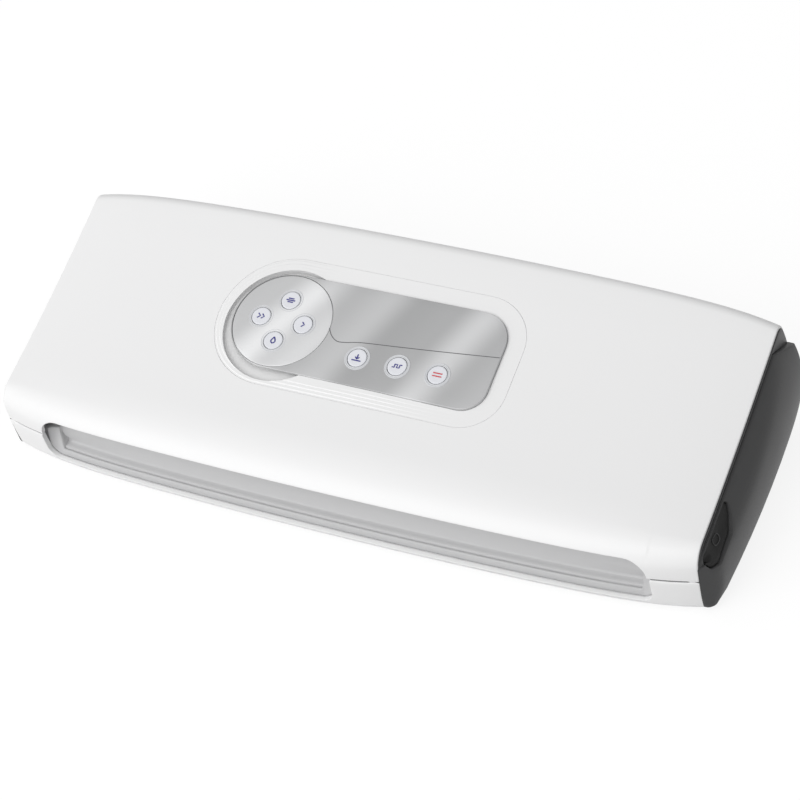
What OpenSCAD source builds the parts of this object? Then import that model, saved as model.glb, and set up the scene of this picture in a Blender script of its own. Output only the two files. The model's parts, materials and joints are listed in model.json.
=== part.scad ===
// Bench-top vacuum sealer: wedge-shaped housing with a hinged lid, a front scoop for the bag
// mouth, a sealing bar and a vacuum trough under the lid, and a side release at each end.
// Millimetres. +X is the right end, +Y the back, +Z up. The origin is on the table, under the
// middle of the housing.

/* [Housing] */
// Length of the housing past each end of the sealing bar
end_room = 30; // [28:1:34]
// Depth over the bowed front and back
depth = 146; // [138:1:158]
// How far the front bows forward at mid length
front_bow = 11; // [4:0.5:14]
// How far the back bows backward at mid length
rear_bow = 7; // [3:0.5:9]
// How far the lid's top rises at mid length
crown = 5.5; // [0:0.5:8]
// Wall of the lid and of the tub
wall = 2.5; // [2:0.1:3]
// Height of the underside above the table
foot_h = 3; // [2:0.5:5]
// Height of the widest line of the front wall
front_bulge_z = 31; // [28:1:34]
// Radius of the barrelled front and back walls, seen from the end
wall_r = 85; // [75:1:110]

/* [Lid form] */
// Radius of the front shoulder
shoulder_r = 11; // [8:0.5:14]
// Height where the shoulder starts
shoulder_z = 34; // [33:0.5:36]
// Slope of the top just behind the shoulder, degrees
slope_front = 10.5; // [8:0.5:13]
// Slope of the top at the back, degrees
slope_rear = 16.7; // [14:0.1:18]
// Radius of the roll at the lid's back edge
roll_r = 6; // [4:0.5:8]
// Height of the front parting line at the corners
part_z = 19; // [17:0.5:21]
// Height of the parting line along the back
rear_part_z = 51.5; // [50:0.5:53]
// Gap along the front and side parting lines
part_gap = 1.2; // [0.8:0.1:1.6]
// Gap at the front corners, where lid and tub nearly touch
tip_gap = 0.4; // [0.3:0.1:0.6]
// Gap along the back, where the lid's lip swings past the tub's
rear_gap = 2.4; // [2:0.1:3]
// How far the raised stretch of the lid's front lip stops short of the scoop at each end
notch_short = 1; // [0.5:0.5:6]
// How far that stretch is raised
notch_h = 9; // [6:0.5:11]

/* [Front scoop] */
// How far the scoop runs past each end of the sealing bar
scoop_over = 8; // [4:1:10]
// Height of the white rim under the scoop
rim_z = 7; // [6.6:0.1:8]
// Height of the scoop's back edge, level with the deck
deck_z = 24; // [22:0.5:25]
// Distance of the scoop's back edge from the widest line of the front
scoop_depth = 16; // [14:0.5:19]

/* [End caps] */
// How far each cap stands out past the lid
cap_out = 8; // [5:0.5:10]
// Depth of the lid's dark end strip
strip_h = 2.6; // [2:0.1:3.6]

/* [Sealing and vacuum] */
// Length of the sealing bar
seal_len = 306; // [280:2:312]
// Width of the sealing bar
seal_bar_w = 9; // [7:0.5:10]
// Height of the sealing bar above the deck
seal_bar_h = 2.8; // [2:0.1:3.2]
// How far the vacuum trough stops short of each end of the sealing bar
trough_short = 13; // [10:1:30]
// Width of the vacuum trough
trough_w = 22; // [18:1:23]
// Depth of the vacuum trough
trough_h = 9; // [6:0.5:11]
// Width of the foam round the trough
foam_w = 5; // [4:0.5:5.5]

/* [Lid hinge and latch] */
// Radius of the hinge pins
pin_r = 2; // [1.5:0.1:2.5]
// Distance of each hinge from mid length
hinge_x = 118; // [90:1:140]
// Travel of the release buttons
release_travel = 3; // [2:0.1:3.2]

/* [Control panel] */
// Radius of the round key disc
disc_r = 25.5; // [23:0.5:27]
// Radius of a key's face
key_r = 4.8; // [4:0.1:5]
// Travel of a key
key_travel = 0.8; // [0.5:0.1:1]
// How far the panel stands above the lid
panel_proud = 1.4; // [1:0.1:2]

/* [Hidden] */
$fn = 48;

// Gaps: between pieces of one body, between moving bodies, and between closed seals
seat_gap = 0.2;
run_gap = 0.4;
seal_gap = 0.3;
pin_fit = 0.05;

half_w = seal_len / 2 + end_room;
scoop_w = seal_len + 2 * scoop_over;
notch_w = scoop_w - 2 * notch_short;
trough_len = seal_len - 2 * trough_short;
side_len = depth - front_bow - rear_bow;
bow_share = 0.45;
end_y = -depth / 2 + front_bow;
tip_len = 4;
function half_gap(x) = (abs(x) > half_w - tip_len + 0.1 ? tip_gap : part_gap) / 2;
lid_rear_z = rear_part_z + rear_gap / 2;
tub_rear_z = rear_part_z - rear_gap / 2;
front_corner_r = 5;
rear_corner_r = 16;
roll_end = 22;
front_rise = 0.35;
rise_span = 20;

// ---- Plan shape: both long sides bow, and turn in faster near the ends ----
function bow(x) =
    let (t = abs(x) / half_w) bow_share * t * t + (1 - bow_share) * pow(t, 8);
function y_front(x) = -depth / 2 + front_bow * bow(x);
function y_rear(x) = depth / 2 - rear_bow * bow(x);
function y_at(x, u) = y_front(x) + u / side_len * (y_rear(x) - y_front(x));
function u_at(x, y) = (y - y_front(x)) / (y_rear(x) - y_front(x)) * side_len;

// ---- End outline: u runs back from the front wall, samples are [u, z, normal u, normal z] ----
function arc_line(c, r, a0, a1, n) =
    [for (i = [0 : n]) let (a = a0 + (a1 - a0) * i / n)
        [c[0] + r * cos(a), c[1] + r * sin(a), cos(a), sin(a)]];
function tail(v) = [for (i = [1 : len(v) - 1]) v[i]];
function polar(c, r, a) = [c[0] + r * cos(a), c[1] + r * sin(a)];

front_c = [wall_r, front_bulge_z];
function front_angle(z) = 180 - asin((z - front_bulge_z) / wall_r);
shoulder_c = polar(front_c, wall_r - shoulder_r, front_angle(shoulder_z));
top_start = polar(shoulder_c, shoulder_r, 90 + slope_front);
top_end_u = side_len - wall_r - roll_r * sin(slope_rear)
    + (wall_r - roll_r) * cos(roll_end);
top_run = top_end_u - top_start[0];
top_bend = (tan(slope_rear) - tan(slope_front)) / (2 * top_run);
function top_z(u) = let (d = u - top_start[0])
    top_start[1] + tan(slope_front) * d + top_bend * d * d;
function top_slope(u) = atan(tan(slope_front) + 2 * top_bend * (u - top_start[0]));
function top_line(n) = [for (i = [0 : n]) let (u = top_start[0] + top_run * i / n,
    s = top_slope(u)) [u, top_z(u), -sin(s), cos(s)]];
roll_c = [top_end_u + roll_r * sin(slope_rear), top_z(top_end_u) - roll_r * cos(slope_rear)];
rear_c = polar(roll_c, roll_r - wall_r, roll_end);
function rear_angle(z) = asin((z - rear_c[1]) / wall_r);
front_foot = asin((front_bulge_z - foot_h - front_corner_r) / (wall_r - front_corner_r));
rear_foot = asin((rear_c[1] - foot_h - rear_corner_r) / (wall_r - rear_corner_r));

function lid_line(lip) = concat(
    arc_line(front_c, wall_r, front_angle(lip), front_angle(shoulder_z), 3),
    tail(arc_line(shoulder_c, shoulder_r, front_angle(shoulder_z), 90 + slope_front, 7)),
    tail(top_line(8)),
    tail(arc_line(roll_c, roll_r, 90 + slope_rear, roll_end, 5)),
    tail(arc_line(rear_c, wall_r, roll_end, rear_angle(lid_rear_z), 2)));
function tub_line(lip) = concat(
    arc_line(front_c, wall_r, front_angle(lip), 180 + front_foot, 2),
    tail(arc_line(polar(front_c, wall_r - front_corner_r, 180 + front_foot),
        front_corner_r, 180 + front_foot, 270, 3)),
    arc_line(polar(rear_c, wall_r - rear_corner_r, -rear_foot),
        rear_corner_r, -90, -rear_foot, 5),
    tail(arc_line(rear_c, wall_r, -rear_foot, rear_angle(tub_rear_z), 4)));

// ---- Lofts: an outline is carried along X, bowed in plan and crowned at the top ----
function seam_z(u) = part_z + (rear_part_z - part_z) * u / side_len;
function rise(u, z) = (front_rise + (1 - front_rise) * u / side_len)
    * min(1, max(0, (z - seam_z(u)) / rise_span));
function place(x, p) = [x, y_at(x, p[0]), p[1] + crown * (1 - bow(x)) * rise(p[0], p[1])];
function inset(p, t) = [p[0] - t * p[2], p[1] - t * p[3]];
function mirrored(half) = concat([for (i = [len(half) - 1 : -1 : 1]) -half[i]], half);
function stations(flat, r, turn_end) = mirrored(concat(
    [for (f = [0, 0.28, 0.54, 0.78]) f * flat],
    [for (a = [0, 30, 55, 75, 90]) flat + r * sin(a)],
    [for (f = [0.35, 0.7, 1]) turn_end + f * (half_w - tip_len - turn_end)], [half_w]));
// A ring is an outer line followed by its inner line walked back
function ring(x, outer, inner) = concat(
    [for (p = outer) place(x, p)],
    [for (i = [len(inner) - 1 : -1 : 0]) place(x, inner[i])]);

module loft(rings) {
    n = len(rings[0]);
    last = (len(rings) - 1) * n;
    sides = [for (i = [0 : len(rings) - 2]) for (j = [0 : n - 1])
        let (a = i * n + j, b = i * n + (j + 1) % n)
        each [[a, a + n, b + n], [a, b + n, b]]];
    caps = [for (j = [0 : n / 2 - 2]) let (k = n - 1 - j) each [
        [j, j + 1, k], [j + 1, k - 1, k],
        [last + j, last + k, last + j + 1], [last + j + 1, last + k, last + k - 1]]];
    polyhedron(points = [for (r = rings) each r], faces = concat(sides, caps));
}

// Height of the lid's outer face over a point of the plan
function lid_z(x, y) = let (u = u_at(x, y), z = top_z(u))
    z + crown * (1 - bow(x)) * rise(u, z);
function lid_under(x, y) = lid_z(x, y) - wall / cos(slope_rear) - seat_gap;

// ---- Small helpers ----
function unit(v) = v / norm(v);
function round_poly(pts, r, n = 5) = [for (i = [0 : len(pts) - 1])
    let (p = pts[i],
        a = unit(pts[(i + len(pts) - 1) % len(pts)] - p),
        b = unit(pts[(i + 1) % len(pts)] - p),
        half = acos(max(-1, min(1, a * b))) / 2,
        c = p + unit(a + b) * r / sin(half),
        u = p + a * r / tan(half) - c,
        v = p + b * r / tan(half) - c,
        a0 = atan2(u[1], u[0]),
        d = atan2(v[1], v[0]) - a0,
        turn = d > 180 ? d - 360 : (d < -180 ? d + 360 : d))
    each [for (k = [0 : n]) c + r * [cos(a0 + turn * k / n), sin(a0 + turn * k / n)]]];
function slot_poly(w, h, r, n = 5) =
    round_poly([[-w / 2, -h / 2], [w / 2, -h / 2], [w / 2, h / 2], [-w / 2, h / 2]], r, n);
module along_x(x0, x1) { translate([x0, 0, 0]) rotate([90, 0, 90]) linear_extrude(x1 - x0) children(); }
module along_y(y0, y1) { translate([0, y1, 0]) rotate([90, 0, 0]) linear_extrude(y1 - y0) children(); }
module block(a, b) { translate(a) cube(b - a); }
module rod_x(x0, x1, y, z, r) { translate([x0, y, z]) rotate([0, 90, 0]) cylinder(h = x1 - x0, r = r); }
module both_ends() { children(); mirror([1, 0, 0]) children(); }
module at_end(side) { mirror([side < 0 ? 1 : 0, 0, 0]) children(); }

// ---- White housing ----
notch_flat = notch_w / 2 - notch_h;
scoop_r = part_z - part_gap / 2 - rim_z;
scoop_flat = scoop_w / 2 - scoop_r;
lid_x = [for (x = stations(notch_flat, notch_h, notch_w / 2)) -x];
tub_x = stations(scoop_flat, scoop_r, scoop_w / 2);
function corner_drop(x, flat, r) = let (d = max(0, abs(x) - flat))
    sqrt(max(0, r * r - d * d));
function lid_lip(x) = part_z + half_gap(x) + corner_drop(x, notch_flat, notch_h);
function tub_lip(x) = part_z - half_gap(x) - corner_drop(x, scoop_flat, scoop_r);
rear_edge_t = 0.6;

module base_tub() {
    color("whitesmoke") difference() {
        loft([for (x = tub_x) let (o = tub_line(tub_lip(x)), m = len(o) - 1)
            ring(x, o, [for (i = [0 : m]) inset(o[i], i == m ? rear_edge_t : wall)])]);
        case_screw_places() translate([0, 0, foot_h - 1]) cylinder(h = wall + 2, r = screw_r + pin_fit);
        gland_place() cylinder(h = 16, r = gland_r + pin_fit);
    }
}

// Scoop section, as shares of its depth and height: floor, ridge, then a hollow back
scoop_section = [[0, 0], [0.2, 0.09], [0.38, 0.24], [0.43, 0.37], [0.58, 0.41], [0.64, 0.36],
    [0.82, 0.44], [0.94, 0.62], [1, 1]];
scoop_back_y = -depth / 2 + scoop_depth;
scoop_skin = [0.9, -0.75];
function scoop_point(x, s) = let (edge = polar(front_c, wall_r - wall, front_angle(tub_lip(x))),
    y0 = y_at(x, edge[0] + seat_gap), z0 = edge[1])
    [x, y0 + s[0] * (scoop_back_y - y0), z0 + s[1] * (deck_z - z0)];
module front_scoop() {
    color("silver") loft([for (x = tub_x) if (abs(x) <= scoop_w / 2 + 0.01) concat(
        [for (s = scoop_section) scoop_point(-x, s)],
        [for (i = [len(scoop_section) - 1 : -1 : 0])
            scoop_point(-x, scoop_section[i]) + [0, scoop_skin[0], scoop_skin[1]]])]);
}

module lid_shell() {
    color("whitesmoke") difference() {
        loft([for (x = lid_x) let (o = lid_line(lid_lip(x)))
            ring(x, o, [for (p = o) inset(p, wall)])]);
        on_panel() translate([0, 0, -12]) linear_extrude(24) polygon(bezel_line(bezel_steps, seat_gap));
    }
}

// ---- Control panel, drawn in its own plane: [x, distance up the slope], 0 at the plate's face ----
panel_y = -1.8;
panel_span = 22;
panel_mid_x = -10;
panel_tilt = atan((lid_z(panel_mid_x, panel_y + panel_span)
    - lid_z(panel_mid_x, panel_y - panel_span)) / (2 * panel_span));
panel_z = lid_z(panel_mid_x, panel_y) + panel_proud / cos(panel_tilt);
plate_top = 36;
plate_low = -18.3;
plate_right = 62;
plate_r = (plate_top - plate_low) / 2;
disc_c = [-52.5, 8];
plate_end_c = [disc_c[0], (plate_top + plate_low) / 2];
plate_t = 1.6;
plate_corners = [12, 16];
bezel_steps = 9;
bezel_t = 5;
pocket_c = disc_c + [1, -2];
pocket_r = 31;
key_cross = 11.5;
key_row_d = -3.3;
key_row_x = [-7, 14.2, 35.3];
key_ring_t = 1.4;
stem_r = 2;
board_drop = 9.4;
board_t = 1.6;
board_x = [disc_c[0] - 22.5, plate_right - 7];
board_d = [plate_low + 4.3, plate_top - 5];
boss_x = [board_x[0] + 5, board_x[1] - 5];
boss_d = [board_d[0] + 6, board_d[1] - 5];
boss_r = 2.2;
boss_pin_r = 1.2;
switch_w = 6;
switch_h = 1.2;
key_places = [disc_c + [0, key_cross], disc_c - [0, key_cross], disc_c - [key_cross, 0],
    disc_c + [key_cross, 0], [key_row_x[0], key_row_d], [key_row_x[1], key_row_d],
    [key_row_x[2], key_row_d]];

module on_panel() { translate([0, panel_y, panel_z]) rotate([panel_tilt, 0, 0]) children(); }
function corner(c, r, a0, n = 8) = [for (i = [0 : n]) polar(c, r, a0 + 90 * i / n)];
// The plate's outline grown by e: a half circle at the left, two rounded corners at the right
function bezel_line(e, gap) = let (g = e + gap, r0 = plate_corners[0], r1 = plate_corners[1])
    concat(
        corner([plate_right - r0, plate_low + r0], r0 + g, -90),
        corner([plate_right - r1, plate_top - r1], r1 + g, 0),
        [for (i = [0 : 20]) polar(plate_end_c, plate_r + g, 90 + 9 * i)]);

module plate_solid(e, gap, z0, z1) {
    translate([0, 0, z0]) linear_extrude(z1 - z0) polygon(bezel_line(e, gap));
}
module at_keys(first, last) {
    for (i = [first : last]) translate([key_places[i][0], key_places[i][1], 0]) children();
}
module panel_bezel() {
    color("whitesmoke") on_panel() difference() {
        union() {
            plate_solid(bezel_steps, 0, -bezel_t, -panel_proud - 0.2);
            for (i = [1 : 3]) plate_solid(bezel_steps - 2 * i, 0, -bezel_t, -panel_proud - 0.2 + 0.28 * i);
            for (x = boss_x, d = boss_d) translate([x, d, -board_drop])
                cylinder(h = board_drop - bezel_t + 1, r = boss_r);
        }
        plate_solid(0, seat_gap, -plate_t - 0.1, 1);
        translate([pocket_c[0], pocket_c[1], -plate_t - 2]) cylinder(h = 6, r = pocket_r);
        at_keys(0, 6) translate([0, 0, -bezel_t - 1]) cylinder(h = bezel_t + 2, r = stem_r + seal_gap);
    }
}
module key_ring_raised() {
    difference() {
        cylinder(h = 0.25, r = key_r + seal_gap + key_ring_t);
        translate([0, 0, -1]) cylinder(h = 2, r = key_r + seal_gap);
    }
}
module control_panel() {
    color("lightgray") on_panel() difference() {
        union() {
            plate_solid(0, 0, -plate_t, 0);
            at_keys(4, 6) key_ring_raised();
        }
        translate([disc_c[0], disc_c[1], -plate_t - 1]) cylinder(h = plate_t + 2, r = disc_r + seat_gap);
        at_keys(4, 6) translate([0, 0, -plate_t - 1]) cylinder(h = plate_t + 3, r = key_r + seal_gap);
    }
}
module key_disc() {
    color("lightgray") on_panel() difference() {
        union() {
            translate([disc_c[0], disc_c[1], -plate_t]) cylinder(h = plate_t, r = disc_r, $fn = 96);
            at_keys(0, 3) key_ring_raised();
        }
        at_keys(0, 3) translate([0, 0, -plate_t - 1]) cylinder(h = plate_t + 3, r = key_r + seal_gap);
    }
}
key_cap_z = 0.4;
key_cap_t = 1;
module key(i) {
    color("gainsboro") on_panel() at_keys(i, i) {
        translate([0, 0, key_cap_z - key_cap_t]) cylinder(h = key_cap_t, r = key_r);
        translate([0, 0, key_travel + 0.2 + switch_h - board_drop])
            cylinder(h = board_drop - switch_h - key_travel - 0.2 + key_cap_z - key_cap_t + 0.1, r = stem_r);
    }
}
module key_board() {
    color("seagreen") on_panel() difference() {
        union() {
            block([board_x[0], board_d[0], -board_drop - board_t], [board_x[1], board_d[1], -board_drop]);
            at_keys(0, 6) translate([-switch_w / 2, -switch_w / 2, -board_drop])
                cube([switch_w, switch_w, switch_h]);
        }
        for (x = boss_x, d = boss_d) translate([x, d, -board_drop - board_t - 1])
            cylinder(h = board_t + 2, r = boss_pin_r);
    }
}

// ---- Dark end strips of the lid, and the end caps they shut against ----
hinge_in = 16;
hinge_y = depth / 2 - hinge_in;
hinge_z = 58;
// The lid's back corner turns inside this radius about the hinge pins
swing_r = norm([end_y + side_len - hinge_y, lid_rear_z - hinge_z]) + run_gap;
lid_end_x = half_w;
strip_t = 0.6;
cap_in_x = half_w - 3.4;
cap_face_x = half_w + run_gap;
cap_in_gap = wall + run_gap;
strip_seam = 0.5;
hinge_seam_u = side_len - 22;
hinge_seam = [[hinge_seam_u, top_z(hinge_seam_u) - strip_h / cos(top_slope(hinge_seam_u))],
    [rear_c[0] + wall_r * cos(rear_angle(lid_rear_z)), lid_rear_z]];
function to_yz(pts) = [for (p = pts) [end_y + p[0], p[1]]];
// Outline of the end, closed along the underside; top says how far its upper side is set down
function end_line(top, side) = to_yz([for (p = concat(
    [for (q = arc_line(polar(front_c, wall_r - front_corner_r, 180 + front_foot),
        front_corner_r, 270, 180 + front_foot, 3)) [q, side]],
    [for (q = arc_line(front_c, wall_r, 180 + front_foot, front_angle(shoulder_z), 6)) [q, side]],
    [for (i = [1 : 7]) [arc_line(shoulder_c, shoulder_r, front_angle(shoulder_z),
        90 + slope_front, 7)[i], side + (top - side) * min(1, (i + 0.6) / 6)]],
    [for (q = tail(top_line(10))) [q, top]],
    [for (q = tail(arc_line(roll_c, roll_r, 90 + slope_rear, roll_end, 4))) [q, max(side, min(top, 4))]],
    [for (q = tail(arc_line(rear_c, wall_r, roll_end, -rear_foot, 8))) [q, side]],
    [for (q = tail(arc_line(polar(rear_c, wall_r - rear_corner_r, -rear_foot),
        rear_corner_r, -rear_foot, -90, 6))) [q, side]]))
    inset(p[0], p[1])]);
module above_hinge_seam(gap) {
    a = hinge_seam[0] - [0, gap];
    b = a + unit(hinge_seam[1] - hinge_seam[0]) * 60;
    polygon(to_yz([a, b, [b[0], a[1] + 60], [a[0], a[1] + 60]]));
}
strip_line = concat(
    tail(arc_line(shoulder_c, shoulder_r, front_angle(shoulder_z), 90 + slope_front, 7)),
    tail(top_line(10)),
    tail(arc_line(roll_c, roll_r, 90 + slope_rear, roll_end, 5)),
    tail(arc_line(rear_c, wall_r, roll_end, rear_angle(lid_rear_z), 3)));
module lid_strip() {
    under = [for (i = [0 : len(strip_line) - 1]) let (p = strip_line[i]) if (p[0] < hinge_seam_u - 1)
        inset(p, strip_h * min(1, (i + 1) / 6))];
    along_x(lid_end_x, lid_end_x + strip_t) polygon(to_yz(concat([for (p = strip_line) [p[0], p[1]]],
        [hinge_seam[0]], [for (i = [len(under) - 1 : -1 : 0]) under[i]])));
}
module lid_strip_left() { color("dimgray") at_end(-1) lid_strip(); }
module lid_strip_right() { color("dimgray") at_end(1) lid_strip(); }

// Release well and button: a long leaf, cut slanted at the lower front and at the back
release_line = to_yz([[6, 34], [5.5, 37.5], [9, 40], [31, 43.5], [34.5, 42], [38, 28.5], [35.5, 24],
    [15.5, 25], [9.5, 29.5]]);
release_mid = [end_y + 22, 34];
function grown(pts, g) = [for (p = pts) p + unit(p - release_mid) * g];
bulge_mid_z = 26;
bulge_mid_y = 0;
bulge_plan_r = 900;
bulge_section_r = 110;
bulge_lean = 6;
module bulge() {
    translate([half_w + cap_out - bulge_plan_r, bulge_mid_y, bulge_mid_z]) rotate([bulge_lean, 0, 0])
        rotate([0, 0, -6]) rotate_extrude(angle = 12, $fn = 720)
            translate([bulge_plan_r - bulge_section_r, 0]) circle(bulge_section_r, $fn = 120);
}
// The cap's front edge is rolled back to the shell, on an upright radius seen in plan
nose_run = 11;
nose_reach = cap_out - 1.8;
nose_r = (nose_run * nose_run + nose_reach * nose_reach) / (2 * nose_reach);
module nose() {
    translate([cap_face_x + nose_reach - nose_r, end_y + nose_run, 0]) cylinder(h = 2 * hinge_z, r = nose_r, $fn = 96);
    block([cap_face_x - 1, end_y + nose_run, 0], [half_w + cap_out + 2, depth, 2 * hinge_z]);
}
module end_cap() {
    difference() {
        union() {
            along_x(cap_in_x, cap_face_x) difference() {
                polygon(end_line(wall + strip_seam + 0.1, cap_in_gap));
                above_hinge_seam(strip_seam);
            }
            intersection() {
                along_x(cap_face_x, half_w + cap_out + 1) difference() {
                    polygon(end_line(strip_h + strip_seam, 0));
                    above_hinge_seam(strip_seam);
                }
                bulge();
                nose();
            }
        }
        along_x(cap_in_x - 1, half_w + cap_out + 2) polygon(round_poly(grown(release_line, run_gap), 2.5, 4));
        rod_x(cap_in_x - 1, lid_end_x + strip_t + run_gap, hinge_y, hinge_z, swing_r);
    }
}
module end_cap_left() { color("dimgray") at_end(-1) end_cap(); }
module end_cap_right() { color("dimgray") at_end(1) end_cap(); }

// ---- Release: button, flange, spring stud and catch in one moulding ----
release_face_x = half_w + 4.2;
flange_x = cap_in_x - run_gap;
flange_t = 1.8;
spring_y = end_y + 17;
spring_z = 33;
spring_room = 7.3;
stud_r = 1.8;
stud_len = 1.2;
// From the flange inward: spring, post, hook and catch bar
post_t = 1.6;
post_x1 = flange_x - flange_t - spring_room;
post_x0 = post_x1 - post_t;
hook_t = 2.9;
hook_x = post_x0 - 0.6 - hook_t;
hook_y = [end_y + 28, end_y + 35];
barb = 1.8;
catch_t = 2;
catch_x1 = hook_x - barb - 1.7;
catch_z = [deck_z + 2.5, deck_z + 5.5];
arm_t = 1.8;
window_y = [hook_y[0] - 4, hook_y[1] + 0.6];
module release() {
    along_x(flange_x - 0.1, release_face_x) polygon(round_poly(release_line, 2.2, 4));
    along_x(flange_x - flange_t, flange_x) polygon(round_poly(grown(release_line, 1.6), 2.2, 4));
    difference() {
        block([catch_x1 - catch_t, window_y[0] - arm_t, catch_z[0]],
            [flange_x - flange_t + 0.1, window_y[1] + arm_t, catch_z[1]]);
        block([catch_x1, window_y[0], catch_z[0] - 1], [flange_x - flange_t, window_y[1], catch_z[1] + 1]);
    }
    rod_x(flange_x - flange_t - stud_len, flange_x - flange_t + 0.1, spring_y, spring_z, stud_r);
}
module release_left() { color("black") at_end(-1) release(); }
module release_right() { color("black") at_end(1) release(); }

// ---- Deck: sealing shelf, riser and pump cover in one sheet, seen from the end ----
deck_t = 2.2;
deck_w = 2 * (cap_in_x - seat_gap);
deck_front_y = scoop_back_y + scoop_skin[0] + seat_gap;
trough_lip = 2;
foam_inset = trough_lip + 1;
foam_reach = foam_inset + foam_w;
seal_edge = 1.1;
row_gap = 0.8;
seal_y = deck_front_y + seal_edge + seal_bar_w / 2;
trough_y = seal_y + seal_bar_w / 2 + row_gap + foam_reach + trough_w / 2;
riser_y = trough_y + trough_w / 2 + foam_reach + 3;
cover_front = [riser_y + 2, 42];
cover_back = [hinge_y - 16.5, 56];
hinge_floor_z = 41;
deck_rear_y = end_y + side_len - wall - 2;
release_slot_y = [end_y + 2, end_y + 41];
post_r = 3.5;
deck_path = [[deck_front_y, deck_z], [riser_y, deck_z], cover_front, cover_back,
    [cover_back[0] + 0.5, hinge_floor_z], [deck_rear_y, hinge_floor_z]];
// A sheet of thickness t under a path of points, mitred at its bends
function left_of(d) = [-d[1], d[0]];
function sheet(path, t) = let (n = len(path) - 1) concat(path, [for (i = [n : -1 : 0])
    let (a = unit(path[max(1, i)] - path[max(0, i - 1)]), b = unit(path[min(n, i + 1)] - path[min(n - 1, i)]),
        m = unit(left_of(a) + left_of(b)))
    path[i] - m * t / (m * left_of(a))]);
module deck() {
    color("whitesmoke") difference() {
        union() {
            along_x(-deck_w / 2, deck_w / 2) polygon(sheet(deck_path, deck_t));
            case_screw_places() translate([0, 0, foot_h + wall + seat_gap])
                cylinder(h = ($case_y < riser_y ? deck_z : hinge_floor_z) - deck_t / 2 - foot_h - wall,
                    r = post_r);
        }
        translate([0, trough_y, deck_z - deck_t - 1]) linear_extrude(deck_t + 2)
            polygon(slot_poly(trough_len + seat_gap * 2, trough_w + seat_gap * 2, 6));
        both_ends() block([flange_x - flange_t - release_travel - run_gap, release_slot_y[0], deck_z - deck_t - 1],
            [deck_w, release_slot_y[1], deck_z + 1]);
        case_screw_places() translate([0, 0, foot_h]) cylinder(h = case_screw_l - 2.4, r = screw_r + pin_fit);
        both_ends() hinge_screw_places() translate([0, 0, hinge_floor_z - deck_t - 1])
            cylinder(h = 6, r = screw_r + pin_fit);
    }
}
module vacuum_trough() {
    color("whitesmoke") translate([0, trough_y, 0]) difference() {
        union() {
            translate([0, 0, deck_z - trough_h]) linear_extrude(trough_h) polygon(slot_poly(trough_len, trough_w, 6));
            translate([0, 0, deck_z]) linear_extrude(1)
                polygon(slot_poly(trough_len + 2 * trough_lip, trough_w + 2 * trough_lip, 8));
        }
        translate([0, 0, deck_z - trough_h + 1.6]) linear_extrude(trough_h + 2)
            polygon(slot_poly(trough_len - 3.2, trough_w - 3.2, 5));
        translate([nozzle_x, 0, deck_z - trough_h - 1]) cylinder(h = 4, r = spigot_r + pin_fit);
    }
}
nozzle_x = -96;
nozzle_r = 3.4;
module air_nozzle() {
    color("dimgray") translate([nozzle_x, trough_y, 0]) difference() {
        union() {
            translate([0, 0, deck_z - trough_h + 1.6]) cylinder(h = 4.5, r = nozzle_r);
            translate([0, 0, spigot_z + 0.1]) cylinder(h = deck_z - trough_h - spigot_z + 2, r = spigot_r);
        }
        translate([0, 0, -1]) cylinder(h = 40, r = spigot_r - 0.8);
    }
}
foam_low_h = 3.6;
foam_up_h = 3.6;
module foam_ring(z0, h) {
    translate([0, trough_y, z0]) linear_extrude(h) difference() {
        polygon(slot_poly(trough_len + 2 * foam_reach, trough_w + 2 * foam_reach, 12, 8));
        polygon(slot_poly(trough_len + 2 * foam_inset, trough_w + 2 * foam_inset, 8, 8));
    }
}
foam_up_z = deck_z + foam_low_h + seal_gap;
liner_z = foam_up_z + foam_up_h;
module lower_foam_seal() { color("dimgray") foam_ring(deck_z, foam_low_h); }
module upper_foam_seal() { color("dimgray") foam_ring(foam_up_z, foam_up_h); }

element_w = 3;
module seal_bar() {
    color("dimgray") difference() {
        block([-seal_len / 2, seal_y - seal_bar_w / 2, deck_z],
            [seal_len / 2, seal_y + seal_bar_w / 2, deck_z + seal_bar_h]);
        block([-seal_len / 2 - 1, seal_y - element_w / 2 - 0.1, deck_z + seal_bar_h - 0.4],
            [seal_len / 2 + 1, seal_y + element_w / 2 + 0.1, deck_z + seal_bar_h + 1]);
    }
}
module heating_element() {
    color("silver") block([-seal_len / 2 + 2, seal_y - element_w / 2, deck_z + seal_bar_h - 0.4],
        [seal_len / 2 - 2, seal_y + element_w / 2, deck_z + seal_bar_h]);
}
tape_t = 0.3;
module release_tape() {
    color("saddlebrown") block([-seal_len / 2 + 1, seal_y - seal_bar_w / 2 + 0.5, deck_z + seal_bar_h],
        [seal_len / 2 - 1, seal_y + seal_bar_w / 2 - 0.5, deck_z + seal_bar_h + tape_t]);
}

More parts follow.
